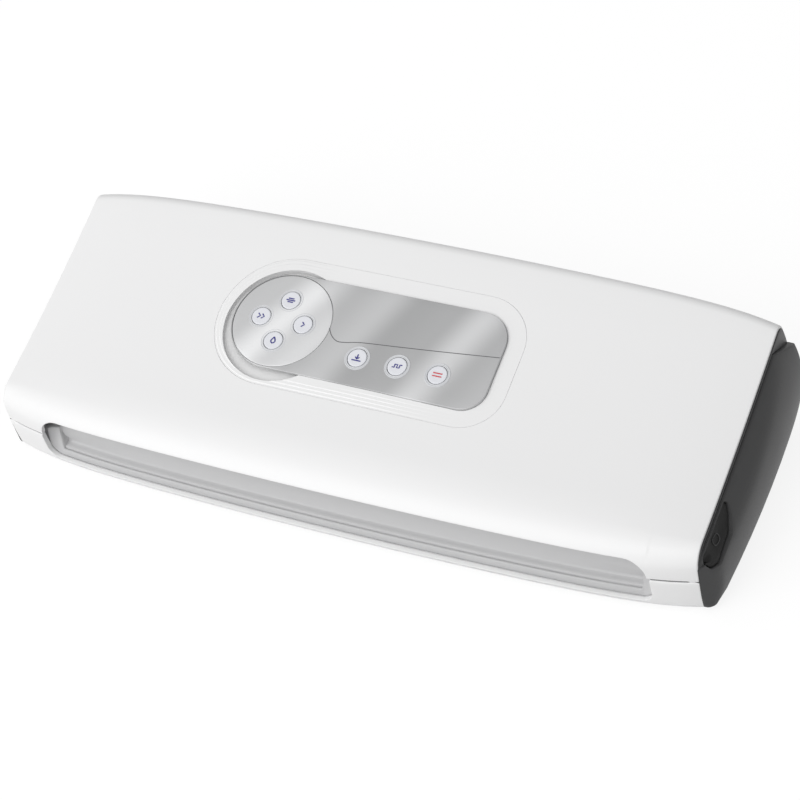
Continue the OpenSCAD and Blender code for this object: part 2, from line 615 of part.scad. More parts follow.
// ---- Hinges: a fork on the deck, a pin through it, and an arm on the lid between its cheeks ----
fork_gap = 9;
fork_t = 3;
barrel_r = 4.6;
arm_w = fork_gap - 2 * run_gap;
fork_base = 30;
module hinge_screw_places() {
    for (s = [-1, 1]) translate([hinge_x + s * (fork_base / 2 - 3.5), hinge_y, 0]) children();
}
module hinge_bracket() {
    translate([hinge_x, 0, 0]) difference() {
        union() {
            for (s = [-1, 1]) {
                rod_x(s * (fork_gap + fork_t) / 2 - fork_t / 2, s * (fork_gap + fork_t) / 2 + fork_t / 2,
                    hinge_y, hinge_z, barrel_r);
                block([s * (fork_gap + fork_t) / 2 - fork_t / 2, hinge_y - barrel_r, hinge_floor_z],
                    [s * (fork_gap + fork_t) / 2 + fork_t / 2, hinge_y, hinge_z]);
            }
            block([-fork_base / 2, hinge_y - barrel_r, hinge_floor_z],
                [fork_base / 2, hinge_y + barrel_r, hinge_floor_z + 2]);
        }
        translate([-hinge_x, 0, 0]) hinge_screw_places() translate([0, 0, hinge_floor_z - 1])
            cylinder(h = 6, r = screw_r + pin_fit);
        rod_x(-20, 20, hinge_y, hinge_z, pin_r + pin_fit);
    }
}
module hinge_bracket_left() { color("gainsboro") at_end(-1) hinge_bracket(); }
module hinge_bracket_right() { color("gainsboro") at_end(1) hinge_bracket(); }
module hinge_pins() {
    color("silver") both_ends() {
        rod_x(hinge_x - fork_gap / 2 - fork_t - 1, hinge_x + fork_gap / 2 + fork_t + 1, hinge_y, hinge_z, pin_r);
        rod_x(hinge_x + fork_gap / 2 + fork_t + run_gap, hinge_x + fork_gap / 2 + fork_t + 2, hinge_y, hinge_z, pin_r + 1.2);
    }
}
module lid_hinge_arms() {
    color("whitesmoke") both_ends() difference() {
        union() {
            rod_x(hinge_x - arm_w / 2, hinge_x + arm_w / 2, hinge_y, hinge_z, barrel_r);
            along_x(hinge_x - arm_w / 2, hinge_x + arm_w / 2) polygon([
                [hinge_y - barrel_r, hinge_z], [hinge_y + barrel_r, hinge_z],
                for (y = [hinge_y, hinge_y - 8, hinge_y - 16])
                    [y, lid_under(hinge_x + arm_w / 2, y) - 0.2]]);
        }
        rod_x(hinge_x - 20, hinge_x + 20, hinge_y, hinge_z, pin_r + pin_fit);
    }
}

// ---- Lid liner: a tray with ribs up to the lid's underside, and what hangs from it ----
liner_w = 2 * hook_x;
liner_y = [seal_y - seal_bar_w / 2 - 0.2, trough_y + trough_w / 2 + foam_reach + 0.6];
liner_t = 2;
liner_lip_h = [7, 9];
rib_t = 2;
rib_count = 9;
rib_low_z = 44;
// The ribs step down below the panel's bezel and its key board
function under_panel(x, y) = y > panel_y + plate_low - bezel_steps - 3
    && x > plate_end_c[0] - plate_r - bezel_steps - 2 && x < plate_right + bezel_steps + 2;
module liner_rib(x) {
    along_x(x - rib_t / 2, x + rib_t / 2) polygon(concat([[liner_y[0], liner_z], [liner_y[1], liner_z]],
        [for (i = [6 : -1 : 0]) let (y = liner_y[0] + (liner_y[1] - liner_y[0]) * i / 6)
            let (z = lid_under(abs(x) + rib_t / 2, y) - 0.2)
            [y, under_panel(x, y) ? min(z, rib_low_z) : z]]));
}
module lid_liner() {
    color("gainsboro") {
        block([-liner_w / 2, liner_y[0], liner_z], [liner_w / 2, liner_y[1], liner_z + liner_t]);
        for (i = [0, 1]) let (y = i == 0 ? liner_y[0] : liner_y[1] - rib_t)
            block([-liner_w / 2, y, liner_z], [liner_w / 2, y + rib_t, liner_z + liner_lip_h[i]]);
        for (i = [0 : rib_count - 1])
            liner_rib(-liner_w / 2 + rib_t / 2 + (liner_w - rib_t) * i / (rib_count - 1));
    }
}
press_w = 5;
module press_strip() {
    color("silver") block([-seal_len / 2, seal_y - press_w / 2, deck_z + seal_bar_h + tape_t + seal_gap],
        [seal_len / 2, seal_y + press_w / 2, liner_z]);
}
// The hook hangs from the liner's end rib, through the catch's window, with its barb turned inward
hook_low_z = deck_z + 0.4;
hook_h = 17;
module latch_hooks() {
    color("dimgray") both_ends() {
        block([hook_x + 0.1, hook_y[0], hook_low_z], [hook_x + hook_t, hook_y[1], hook_low_z + hook_h]);
        along_y(hook_y[0], hook_y[1]) polygon([[hook_x + 0.2, hook_low_z], [hook_x + 0.2, catch_z[0] - run_gap],
            [catch_x1 + 0.5, catch_z[0] - run_gap], [catch_x1 + 1.7, hook_low_z]]);
    }
}

// ---- Release springs and the posts they push against ----
post_w = 8.6;
post_h = 14;
gusset = 4;
module spring_posts() {
    color("gainsboro") both_ends() {
        block([post_x0, spring_y - post_w / 2, deck_z], [post_x1, spring_y + post_w / 2, deck_z + post_h]);
        for (y = [spring_y - post_w / 2, spring_y + post_w / 2 - post_t])
            along_y(y, y + post_t) polygon([[post_x0 - gusset, deck_z], [post_x1, deck_z],
                [post_x1, spring_z], [post_x0, spring_z]]);
        rod_x(post_x1 - 0.1, post_x1 + 1.5 * stud_len, spring_y, spring_z, stud_r);
    }
}
spring_wire = 0.5;
spring_turns = 5;
spring_pitch = (spring_room - 2 * seat_gap - 2 * spring_wire) / (spring_turns - 1);
spring_r = stud_r + seal_gap + spring_wire;
module release_spring() {
    color("silver") for (i = [0 : spring_turns - 1])
        translate([post_x1 + seat_gap + spring_wire + i * spring_pitch, spring_y, spring_z])
            rotate([0, 90, 0]) rotate_extrude($fn = 24) translate([spring_r, 0]) circle(spring_wire, $fn = 13);
}
module release_spring_left() { at_end(-1) release_spring(); }
module release_spring_right() { at_end(1) release_spring(); }

// ---- Feet, screws and the cord inlet ----
screw_r = 1.5;
screw_head_r = 2.8;
case_screw_l = 14;
case_x = half_w - 33;
case_y = [trough_y - 9, hinge_y - 11];
module case_screw_places() {
    for (x = [-case_x, case_x], y = case_y) translate([x, y, 0]) {
        $case_y = y;
        children();
    }
}
module case_screws() {
    color("silver") case_screw_places() {
        translate([0, 0, foot_h - 1.6]) cylinder(h = 1.6, r = screw_head_r);
        translate([0, 0, foot_h - 0.1]) cylinder(h = case_screw_l - 4, r = screw_r);
    }
}
module hinge_screws() {
    color("silver") both_ends() hinge_screw_places() {
        translate([0, 0, hinge_floor_z + 2]) cylinder(h = 1.4, r = screw_head_r - 0.4);
        translate([0, 0, hinge_floor_z - 3]) cylinder(h = 5.1, r = screw_r);
    }
}
foot_r = 6.5;
foot_x = half_w - 45;
foot_y = [-depth / 2 + 23, depth / 2 - 19];
module rubber_feet() {
    color("black") for (x = [-foot_x, foot_x], y = foot_y) translate([x, y, 0]) cylinder(h = foot_h, r = foot_r);
}
gland_x = -(half_w - 55);
gland_z = 24;
gland_r = 5.5;
cord_r = 3.3;
gland_out_y = y_rear(gland_x) - 0.2;
module gland_place() { translate([gland_x, gland_out_y - 12, gland_z]) rotate([-90, 0, 0]) children(); }
module cord_gland() {
    color("black") gland_place() difference() {
        union() {
            translate([0, 0, 4]) cylinder(h = 9.6, r = gland_r);
            translate([0, 0, 12]) cylinder(h = 1.6, r = gland_r + 2);
            translate([0, 0, 4]) cylinder(h = 1.8, r = gland_r + 1.5);
        }
        translate([0, 0, -1]) cylinder(h = 20, r = cord_r);
    }
}

// ---- Vacuum pump, its motor, valve and tube, and the electrics, on the tub's floor ----
floor_z = foot_h + wall + seat_gap;
pump_y = riser_y + 24;
motor_r = 12;
motor_z = floor_z + 16.3;
motor_x = [nozzle_x + 36, nozzle_x + 74];
head_x = [nozzle_x - 4, nozzle_x + 30];
head_w = 28;
module pump_motor() {
    color("silver") {
        rod_x(motor_x[0], motor_x[1], pump_y, motor_z, motor_r);
        rod_x(motor_x[0] - 2, motor_x[0] + 0.1, pump_y, motor_z, 4);
        rod_x(motor_x[1] - 0.1, motor_x[1] + 3, pump_y, motor_z, 3.5);
    }
}
module pump_head() {
    color("dimgray") {
        block([head_x[0], pump_y - head_w / 2, floor_z + 2.2], [head_x[1], pump_y + head_w / 2, floor_z + 26]);
        translate([(head_x[0] + head_x[1]) / 2, pump_y, floor_z + 25.9]) cylinder(h = 6, r = 11);
        rod_x(head_x[1] - 0.1, motor_x[0] - 2.2, pump_y, motor_z, 6);
    }
}
module pump_bracket() {
    color("silver") difference() {
        union() {
            block([head_x[0] - 4, pump_y - 13.8, floor_z], [motor_x[1] + 4, pump_y + 15, floor_z + 2]);
            for (x = [motor_x[0] + 5, motor_x[1] - 8])
                block([x, pump_y - 13.5, floor_z], [x + 3, pump_y + 13.5, motor_z - 2]);
        }
        rod_x(motor_x[0] - 1, motor_x[1] + 1, pump_y, motor_z, motor_r + seat_gap);
    }
}
spigot_r = 1.9;
// The tube's upright end is a moulded socket for the nozzle's spigot
tube_or = 2.9;
socket_r = spigot_r + pin_fit + 1.4;
tube_z = floor_z + socket_r + 0.4;
spigot_z = tube_z + 2.5;
module air_tube() {
    color("lightgray") translate([nozzle_x, trough_y, 0]) difference() {
        union() {
            translate([0, 0, tube_z - socket_r])
                cylinder(h = deck_z - trough_h - seat_gap - tube_z + socket_r, r = socket_r);
            translate([0, 0, tube_z]) rotate([-90, 0, 0])
                cylinder(h = pump_y - head_w / 2 - seat_gap - trough_y, r = tube_or);
        }
        translate([0, 0, tube_z - 1.5]) cylinder(h = deck_z, r = spigot_r + pin_fit);
        translate([0, 0, tube_z]) rotate([-90, 0, 0]) cylinder(h = pump_y - trough_y, r = spigot_r - 0.3);
    }
}
valve_x = head_x[0] - 15;
valve_y = pump_y - 4;
valve_w = [14, 16, 14];
module bleed_valve() {
    color("dimgray") {
        block([valve_x - valve_w[0] / 2, valve_y - valve_w[1] / 2, floor_z],
            [valve_x + valve_w[0] / 2, valve_y + valve_w[1] / 2, floor_z + valve_w[2]]);
        translate([valve_x, valve_y, floor_z + valve_w[2] - 0.1]) cylinder(h = 8, r = 5.5);
        rod_x(valve_x + valve_w[0] / 2 - 0.1, head_x[0] - 4.2, valve_y, floor_z + 8, 2.2);
    }
}
core_mid_x = 85;
core = [46, 26, 29.5];
core_leg = 7;
core_window = 8;
core_z = floor_z + 1.5;
winding = [core[0] - 2 * core_leg - 2.4, core[1] + 12];
module transformer() {
    limb = core[0] - 2 * core_leg - 2 * core_window;
    color("dimgray") translate([core_mid_x, pump_y, 0]) {
        block([-core[0] / 2 - 7, -core[1] / 2 + 4, floor_z], [core[0] / 2 + 7, core[1] / 2 - 4, floor_z + 1.6]);
        difference() {
            block([-core[0] / 2, -core[1] / 2, core_z], [core[0] / 2, core[1] / 2, core_z + core[2]]);
            for (s = [-1, 1]) block([s * (limb + core_window) / 2 - core_window / 2, -core[1], core_z + core_leg],
                [s * (limb + core_window) / 2 + core_window / 2, core[1], core_z + core[2] - core_leg]);
        }
        translate([0, 0, core_z + core_leg + 0.4]) linear_extrude(core[2] - 2 * core_leg - 0.8) difference() {
            polygon(slot_poly(winding[0], winding[1], 5));
            square([limb - 0.2, core[1] - 0.2], center = true);
        }
    }
}
power_board_x = [motor_x[1] + 8, core_mid_x - 35];
power_board_w = 28;
power_board_z = floor_z + 7;
standoff_in = 4;
module power_board() {
    part_z0 = power_board_z + board_t - 0.1;
    color("seagreen") translate([power_board_x[0], pump_y, 0]) {
        board_l = power_board_x[1] - power_board_x[0];
        block([0, -power_board_w / 2, power_board_z], [board_l, power_board_w / 2, power_board_z + board_t]);
        for (x = [standoff_in, board_l - standoff_in], s = [-1, 1])
            translate([x, s * (power_board_w / 2 - standoff_in), floor_z])
                cylinder(h = power_board_z - floor_z + 0.1, r = 2.5);
        block([8, -8, part_z0], [23, 8, part_z0 + 15.5]);
        for (x = [32, 45]) translate([x, -6, part_z0]) cylinder(h = 18, r = 5);
        block([50, 2, part_z0], [61, 11, part_z0 + 9.5]);
    }
}
// The switch stands behind the catch, just past the end of the foam, and the liner's end presses it
lid_switch_w = 6;
lid_switch_x = -(trough_len / 2 + foam_reach + 9 + lid_switch_w / 2);
lid_switch_y = window_y[1] + arm_t + 1.6;
lid_switch_l = 11;
plunger_h = 2;
module lid_switch() {
    color("black") {
        block([lid_switch_x - lid_switch_w / 2, lid_switch_y, deck_z],
            [lid_switch_x + lid_switch_w / 2, lid_switch_y + lid_switch_l, liner_z - plunger_h]);
        translate([lid_switch_x, lid_switch_y + lid_switch_l / 2, liner_z - plunger_h - 0.1])
            cylinder(h = plunger_h + 0.1 - seal_gap, r = 1.3);
    }
}

module key_dry() { key(0); }
module key_moist() { key(1); }
module key_fast() { key(2); }
module key_slow() { key(3); }
module key_vacuum() { key(4); }
module key_pulse() { key(5); }
module key_seal() { key(6); }

base_tub();
front_scoop();
deck();
end_cap_left();
end_cap_right();
vacuum_trough();
air_nozzle();
lower_foam_seal();
seal_bar();
heating_element();
release_tape();
hinge_bracket_left();
hinge_bracket_right();
hinge_pins();
spring_posts();
release_spring_left();
release_spring_right();
hinge_screws();
pump_head();
pump_motor();
pump_bracket();
air_tube();
bleed_valve();
transformer();
power_board();
lid_switch();
cord_gland();
rubber_feet();
case_screws();
release_left();
release_right();
lid_shell();
lid_strip_left();
lid_strip_right();
lid_liner();
lid_hinge_arms();
upper_foam_seal();
press_strip();
latch_hooks();
panel_bezel();
control_panel();
key_disc();
key_board();
key_dry();
key_moist();
key_fast();
key_slow();
key_vacuum();
key_pulse();
key_seal();
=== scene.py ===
"""Looks of the bench-top vacuum sealer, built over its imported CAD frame.

Sizes are in millimetres, in the frame's axes, and are turned into metres when a mesh is made.
"""
import json
import logging
import math
from dataclasses import dataclass, field
from enum import Enum
from typing import Callable, Sequence

import bmesh
import bpy
from mathutils import Matrix, Vector
from mathutils.geometry import delaunay_2d_cdt


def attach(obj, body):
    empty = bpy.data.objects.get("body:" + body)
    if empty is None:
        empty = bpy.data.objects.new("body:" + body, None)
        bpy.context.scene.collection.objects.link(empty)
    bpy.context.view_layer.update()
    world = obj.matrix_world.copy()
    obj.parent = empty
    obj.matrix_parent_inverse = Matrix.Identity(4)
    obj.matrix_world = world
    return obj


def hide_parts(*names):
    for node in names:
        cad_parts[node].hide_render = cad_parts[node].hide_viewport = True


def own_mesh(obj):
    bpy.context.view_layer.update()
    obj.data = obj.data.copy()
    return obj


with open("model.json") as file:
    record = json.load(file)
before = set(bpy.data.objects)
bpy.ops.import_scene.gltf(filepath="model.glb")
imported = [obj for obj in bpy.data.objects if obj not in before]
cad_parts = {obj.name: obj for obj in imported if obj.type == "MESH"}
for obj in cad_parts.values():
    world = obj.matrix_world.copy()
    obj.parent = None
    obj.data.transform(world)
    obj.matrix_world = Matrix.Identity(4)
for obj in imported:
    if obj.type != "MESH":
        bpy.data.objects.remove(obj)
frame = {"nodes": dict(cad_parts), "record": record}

MM = 0.001
Point2 = tuple[float, float]
Point3 = tuple[float, float, float]
Sample = tuple[float, float, float, float]
log = logging.getLogger("sealer")


# ---------------------------------------------------------------- outline helpers


def polar(c: Sequence[float], r: float, a: float) -> Point2:
    """Return the point at radius r and angle a (degrees) about c."""
    return c[0] + r * math.cos(math.radians(a)), c[1] + r * math.sin(math.radians(a))


def arc(c: Sequence[float], r: float, a0: float, a1: float, n: int) -> list[Sample]:
    """Sample an arc as points with outward normals.

    Args:
        c: Centre.
        r: Radius.
        a0: First angle in degrees.
        a1: Last angle in degrees.
        n: Number of steps.

    Returns:
        n + 1 samples of (u, z, normal u, normal z).
    """
    out = []
    for i in range(n + 1):
        a = math.radians(a0 + (a1 - a0) * i / n)
        out.append((c[0] + r * math.cos(a), c[1] + r * math.sin(a), math.cos(a), math.sin(a)))
    return out


def smooth(lo: float, hi: float, v: float) -> float:
    """Return the smoothstep of v between lo and hi."""
    t = min(1.0, max(0.0, (v - lo) / (hi - lo)))
    return t * t * (3 - 2 * t)


def spline(points: Sequence[Point2], steps: int) -> list[Point2]:
    """Run a Catmull-Rom curve through points.

    Args:
        points: Points to pass through.
        steps: Samples per span.

    Returns:
        The sampled open curve.
    """
    ext = [points[0], *points, points[-1]]
    out: list[Point2] = []
    for i in range(1, len(ext) - 2):
        p0, p1, p2, p3 = ext[i - 1 : i + 3]
        for k in range(steps):
            t = k / steps
            out.append(tuple(
                0.5 * (2 * p1[j] + (p2[j] - p0[j]) * t + (2 * p0[j] - 5 * p1[j] + 4 * p2[j] - p3[j]) * t * t
                       + (3 * p1[j] - p0[j] - 3 * p2[j] + p3[j]) * t ** 3) for j in (0, 1)))
    out.append(tuple(points[-1]))
    return out


def area(loop: Sequence[Point2]) -> float:
    """Return the signed area of a closed loop."""
    return 0.5 * sum(a[0] * b[1] - b[0] * a[1] for a, b in zip(loop, [*loop[1:], loop[0]]))


def inward(loop: Sequence[Point2], d: float) -> list[Point2]:
    """Move a closed loop inward by d, mitred at its corners.

    Args:
        loop: Closed loop in either direction.
        d: Distance, negative to grow the loop.

    Returns:
        The moved loop, point for point.
    """
    side = 1.0 if area(loop) > 0 else -1.0
    n = len(loop)
    out = []
    for i in range(n):
        p = Vector(loop[i])
        a = (p - Vector(loop[i - 1])).normalized()
        b = (Vector(loop[(i + 1) % n]) - p).normalized()
        na, nb = Vector((-a.y, a.x)) * side, Vector((-b.y, b.x)) * side
        m = (na + nb)
        m = m.normalized() if m.length > 1e-6 else na
        q = p + m * (d / max(0.4, m.dot(na)))
        out.append((q.x, q.y))
    return out


def inside(p: Sequence[float], loop: Sequence[Point2]) -> bool:
    """Tell whether p lies inside a closed loop."""
    hit = False
    x, y = p[0], p[1]
    for a, b in zip(loop, [*loop[1:], loop[0]]):
        if (a[1] > y) != (b[1] > y) and x < (b[0] - a[0]) * (y - a[1]) / (b[1] - a[1]) + a[0]:
            hit = not hit
    return hit


def rounded(points: Sequence[Point2], r: float, n: int = 6) -> list[Point2]:
    """Round each corner of a closed polygon.

    Args:
        points: Corners.
        r: Corner radius.
        n: Steps per corner.

    Returns:
        The rounded loop.
    """
    out: list[Point2] = []
    m = len(points)
    for i in range(m):
        p = Vector(points[i])
        a = (Vector(points[i - 1]) - p).normalized()
        b = (Vector(points[(i + 1) % m]) - p).normalized()
        half = a.angle(b) / 2
        c = p + (a + b).normalized() * (r / math.sin(half))
        u, v = p + a * (r / math.tan(half)) - c, p + b * (r / math.tan(half)) - c
        a0, a1 = math.atan2(u.y, u.x), math.atan2(v.y, v.x)
        turn = (a1 - a0 + math.pi) % (2 * math.pi) - math.pi
        for k in range(n + 1):
            at = a0 + turn * k / n
            out.append((c.x + r * math.cos(at), c.y + r * math.sin(at)))
    return out


def circle(c: Sequence[float], r: float, n: int = 64) -> list[Point2]:
    """Return a circle as a closed loop of n points."""
    return [polar(c, r, 360 * i / n) for i in range(n)]


# ---------------------------------------------------------------- housing form


@dataclass(frozen=True)
class Housing:
    """Sizes of the visual housing and the curves that follow from them.

    The back, top and ends follow the CAD. The front seam, the notch, the wall under the widest line, the
    eased shoulder and the scoop's lower corners have values of their own.
    """

    shell_w: float = 366.0
    depth: float = 146.0
    front_bow: float = 11.0
    rear_bow: float = 7.0
    crown: float = 5.5
    wall: float = 2.5
    foot_h: float = 3.0
    bulge_z: float = 31.0
    wall_r: float = 85.0
    low_r: float = 170.0
    soft_run: float = 14.0
    soft_z: float = 30.0
    shoulder_r: float = 11.0
    shoulder_z: float = 34.0
    slope_front: float = 10.5
    slope_rear: float = 16.7
    roll_r: float = 6.0
    roll_end: float = 22.0
    part_z: float = 25.5
    rear_part_z: float = 51.5
    part_gap: float = 1.2
    tip_gap: float = 0.4
    tip_len: float = 4.0
    rear_gap: float = 2.4
    notch_w: float = 320.0
    notch_h: float = 10.3
    scoop_w: float = 322.0
    rim_z: float = 7.0
    scoop_r: float = 8.0
    deck_z: float = 24.0
    scoop_depth: float = 16.0
    bow_share: float = 0.45
    front_corner: float = 5.0
    rear_corner: float = 16.0
    front_rise: float = 0.35
    rise_span: float = 20.0
    face_steps: int = 34

    @property
    def half_w(self) -> float:
        """Half the shell's length."""
        return self.shell_w / 2

    @property
    def side_len(self) -> float:
        """Depth of the ends."""
        return self.depth - self.front_bow - self.rear_bow

    @property
    def end_y(self) -> float:
        """Front of the ends."""
        return -self.depth / 2 + self.front_bow

    @property
    def front_c(self) -> Point2:
        """Centre of the front wall's arc."""
        return self.wall_r, self.bulge_z

    @property
    def lid_rear_z(self) -> float:
        """Height of the lid's lip at the back."""
        return self.rear_part_z + self.rear_gap / 2

    def front_angle(self, z: float) -> float:
        """Return the front arc's angle at height z."""
        return 180 - math.degrees(math.asin((z - self.bulge_z) / self.wall_r))

    def low_wall(self, z0: float, z1: float, n: int) -> list[Sample]:
        """Sample the flatter front wall under its widest line, from height z0 to z1."""
        c = (self.low_r, self.bulge_z)
        a0, a1 = (180 - math.degrees(math.asin((z - self.bulge_z) / self.low_r)) for z in (z0, z1))
        return arc(c, self.low_r, a0, a1, n)

    @property
    def shoulder_c(self) -> Point2:
        """Centre of the front shoulder."""
        return polar(self.front_c, self.wall_r - self.shoulder_r, self.front_angle(self.shoulder_z))

    @property
    def top_start(self) -> Point2:
        """Where the top begins behind the shoulder."""
        return polar(self.shoulder_c, self.shoulder_r, 90 + self.slope_front)

    @property
    def top_end(self) -> float:
        """Where the top ends at the back roll."""
        return (self.side_len - self.wall_r - self.roll_r * math.sin(math.radians(self.slope_rear))
                + (self.wall_r - self.roll_r) * math.cos(math.radians(self.roll_end)))

    @property
    def top_bend(self) -> float:
        """Second-order term of the top's slope."""
        rise = math.tan(math.radians(self.slope_rear)) - math.tan(math.radians(self.slope_front))
        return rise / (2 * (self.top_end - self.top_start[0]))

    def top_z(self, u: float) -> float:
        """Return the height of the top at u, before it is crowned."""
        d = u - self.top_start[0]
        return self.top_start[1] + math.tan(math.radians(self.slope_front)) * d + self.top_bend * d * d

    def top_slope(self, u: float) -> float:
        """Return the top's slope at u in radians."""
        rise = math.tan(math.radians(self.slope_front))
        return math.atan(rise + 2 * self.top_bend * (u - self.top_start[0]))

    def top_line(self, n: int) -> list[Sample]:
        """Sample the top in n steps."""
        out = []
        for i in range(n + 1):
            u = self.top_start[0] + (self.top_end - self.top_start[0]) * i / n
            s = self.top_slope(u)
            out.append((u, self.top_z(u), -math.sin(s), math.cos(s)))
        return out

    @property
    def roll_c(self) -> Point2:
        """Centre of the roll at the back."""
        a = math.radians(self.slope_rear)
        return self.top_end + self.roll_r * math.sin(a), self.top_z(self.top_end) - self.roll_r * math.cos(a)

    @property
    def rear_c(self) -> Point2:
        """Centre of the back wall's arc."""
        return polar(self.roll_c, self.roll_r - self.wall_r, self.roll_end)

    def rear_angle(self, z: float) -> float:
        """Return the back arc's angle at height z."""
        return math.degrees(math.asin((z - self.rear_c[1]) / self.wall_r))

    @property
    def front_foot(self) -> float:
        """Angle where the front wall meets its lower corner."""
        return math.degrees(math.asin((self.bulge_z - self.foot_h - self.front_corner)
                                      / (self.low_r - self.front_corner)))

    @property
    def foot_c(self) -> Point2:
        """Centre of the lower front corner."""
        return polar((self.low_r, self.bulge_z), self.low_r - self.front_corner, 180 + self.front_foot)

    @property
    def foot_z(self) -> float:
        """Height where the front wall meets its lower corner."""
        return self.bulge_z - self.low_r * math.sin(math.radians(self.front_foot))

    @property
    def rear_foot(self) -> float:
        """Angle where the back wall meets its lower corner."""
        return math.degrees(math.asin((self.rear_c[1] - self.foot_h - self.rear_corner)
                                      / (self.wall_r - self.rear_corner)))

    def shoulder(self, soft: float) -> list[Sample]:
        """Sample the lid from the foot of its shoulder to behind it.

        Args:
            soft: How far the shoulder is eased, from 0 at the ends to 1 at mid length.

        Returns:
            Samples that end on the top line.
        """
        run = self.top_start[0] + self.soft_run
        turn = self.front_angle(self.shoulder_z)
        tight = [*arc(self.front_c, self.wall_r, self.front_angle(self.soft_z), turn, 4),
                 *arc(self.shoulder_c, self.shoulder_r, turn, 90 + self.slope_front, 16)[1:],
                 *((u, self.top_z(u), 0.0, 1.0) for u in
                   (self.top_start[0] + self.soft_run * k / 6 for k in range(1, 7)))]
        start = tight[0]
        s = self.top_slope(run)
        corner = (start[0], self.top_z(run) - math.tan(s) * (run - start[0]))
        n = len(tight) - 1
        pts = []
        for i, p in enumerate(tight):
            t = i / n
            w = ((1 - t) ** 2, 2 * t * (1 - t), t * t)
            q = [w[0] * start[j] + w[1] * corner[j] + w[2] * (run, self.top_z(run))[j] for j in (0, 1)]
            pts.append([p[j] + (q[j] - p[j]) * soft for j in (0, 1)])
        out = []
        for i, p in enumerate(pts):
            a, b = pts[max(0, i - 1)], pts[min(n, i + 1)]
            d = math.hypot(b[0] - a[0], b[1] - a[1])
            out.append((p[0], p[1], -(b[1] - a[1]) / d, (b[0] - a[0]) / d))
        return out

    def lid_line(self, lip: float, soft: float = 0.0) -> list[Sample]:
        """Sample the lid's outline from its front lip to its back lip.

        Args:
            lip: Height of the front lip.
            soft: How far the shoulder is eased.

        Returns:
            The samples, as many for any lip.
        """
        face = self.low_wall(self.part_z, self.soft_z, 8)[:-1] + self.shoulder(soft)
        i = next(k for k, p in enumerate(face) if p[1] > lip + 0.05)
        a, b = face[max(0, i - 1)], face[i]
        t = (lip - a[1]) / (b[1] - a[1]) if i else 0.0
        lowest = tuple(a[j] + (b[j] - a[j]) * t for j in range(4)) if i else self.low_wall(lip, lip, 1)[0]
        front = [lowest, *face[i:]]
        spans = [0.0]
        for p, q in zip(front, front[1:]):
            spans.append(spans[-1] + math.hypot(q[0] - p[0], q[1] - p[1]))
        even = []
        k = 0
        for m in range(self.face_steps + 1):
            at = spans[-1] * m / self.face_steps
            while k < len(front) - 2 and spans[k + 1] < at:
                k += 1
            f = (at - spans[k]) / max(1e-9, spans[k + 1] - spans[k])
            even.append(tuple(front[k][j] + (front[k + 1][j] - front[k][j]) * f for j in range(4)))
        start = self.top_start[0] + self.soft_run
        top = [p for p in self.top_line(30) if p[0] > start + 0.5]
        return [
            *even, *top,
            *arc(self.roll_c, self.roll_r, 90 + self.slope_rear, self.roll_end, 12)[1:],
            *arc(self.rear_c, self.wall_r, self.roll_end, self.rear_angle(self.lid_rear_z), 5)[1:],
        ]

    def tub_line(self, lip: float) -> list[Sample]:
        """Sample the tub's outline from its front lip, under it, to its back lip."""
        foot = self.foot_c
        heel = polar(self.rear_c, self.wall_r - self.rear_corner, -self.rear_foot)
        flat = arc(foot, self.front_corner, 270, 270, 1)[:1] + arc(heel, self.rear_corner, -90, -90, 1)[:1]
        span = flat[1][0] - flat[0][0]
        floor = [(flat[0][0] + span * i / 8, self.foot_h, 0.0, -1.0) for i in range(1, 8)]
        low = max(lip, self.foot_z + 0.3)
        return [
            *self.low_wall(low, self.foot_z, 5),
            *arc(foot, self.front_corner, 180 + self.front_foot, 270, 7)[1:],
            *floor,
            *arc(heel, self.rear_corner, -90, -self.rear_foot, 9),
            *arc(self.rear_c, self.wall_r, -self.rear_foot,
                 self.rear_angle(self.rear_part_z - self.rear_gap / 2), 8)[1:],
        ]

    def bow(self, x: float) -> float:
        """Return how much of the bow is lost at x, from 0 at mid length to 1 at the ends."""
        t = abs(x) / self.half_w
        return self.bow_share * t * t + (1 - self.bow_share) * t ** 8

    def y_at(self, x: float, u: float) -> float:
        """Return the y of outline coordinate u at x."""
        front = -self.depth / 2 + self.front_bow * self.bow(x)
        back = self.depth / 2 - self.rear_bow * self.bow(x)
        return front + u / self.side_len * (back - front)

    def u_at(self, x: float, y: float) -> float:
        """Return the outline coordinate of y at x."""
        front = -self.depth / 2 + self.front_bow * self.bow(x)
        back = self.depth / 2 - self.rear_bow * self.bow(x)
        return (y - front) / (back - front) * self.side_len

    def rise(self, u: float, z: float) -> float:
        """Return the share of the crown that a point of the outline takes."""
        seam = self.part_z + (self.rear_part_z - self.part_z) * u / self.side_len
        share = self.front_rise + (1 - self.front_rise) * u / self.side_len
        return share * min(1.0, max(0.0, (z - seam) / self.rise_span))

    def place(self, x: float, p: Sequence[float]) -> Point3:
        """Place an outline point (u, z) at x on the bowed, crowned housing."""
        return x, self.y_at(x, p[0]), p[1] + self.crown * (1 - self.bow(x)) * self.rise(p[0], p[1])

    def lid_z(self, x: float, y: float) -> float:
        """Return the height of the lid's top over (x, y)."""
        u = self.u_at(x, y)
        z = self.top_z(u)
        return z + self.crown * (1 - self.bow(x)) * self.rise(u, z)

    def half_gap(self, x: float) -> float:
        """Return half the seam's width at x, where it narrows at the ends."""
        near = smooth(self.half_w - self.tip_len - 0.9, self.half_w - self.tip_len + 0.1, abs(x))
        return (self.part_gap + (self.tip_gap - self.part_gap) * near) / 2

    def lid_at(self, x: float) -> list[Sample]:
        """Sample the lid's outline at x."""
        return self.lid_line(self.lid_lip(x), 1 - self.bow(x))

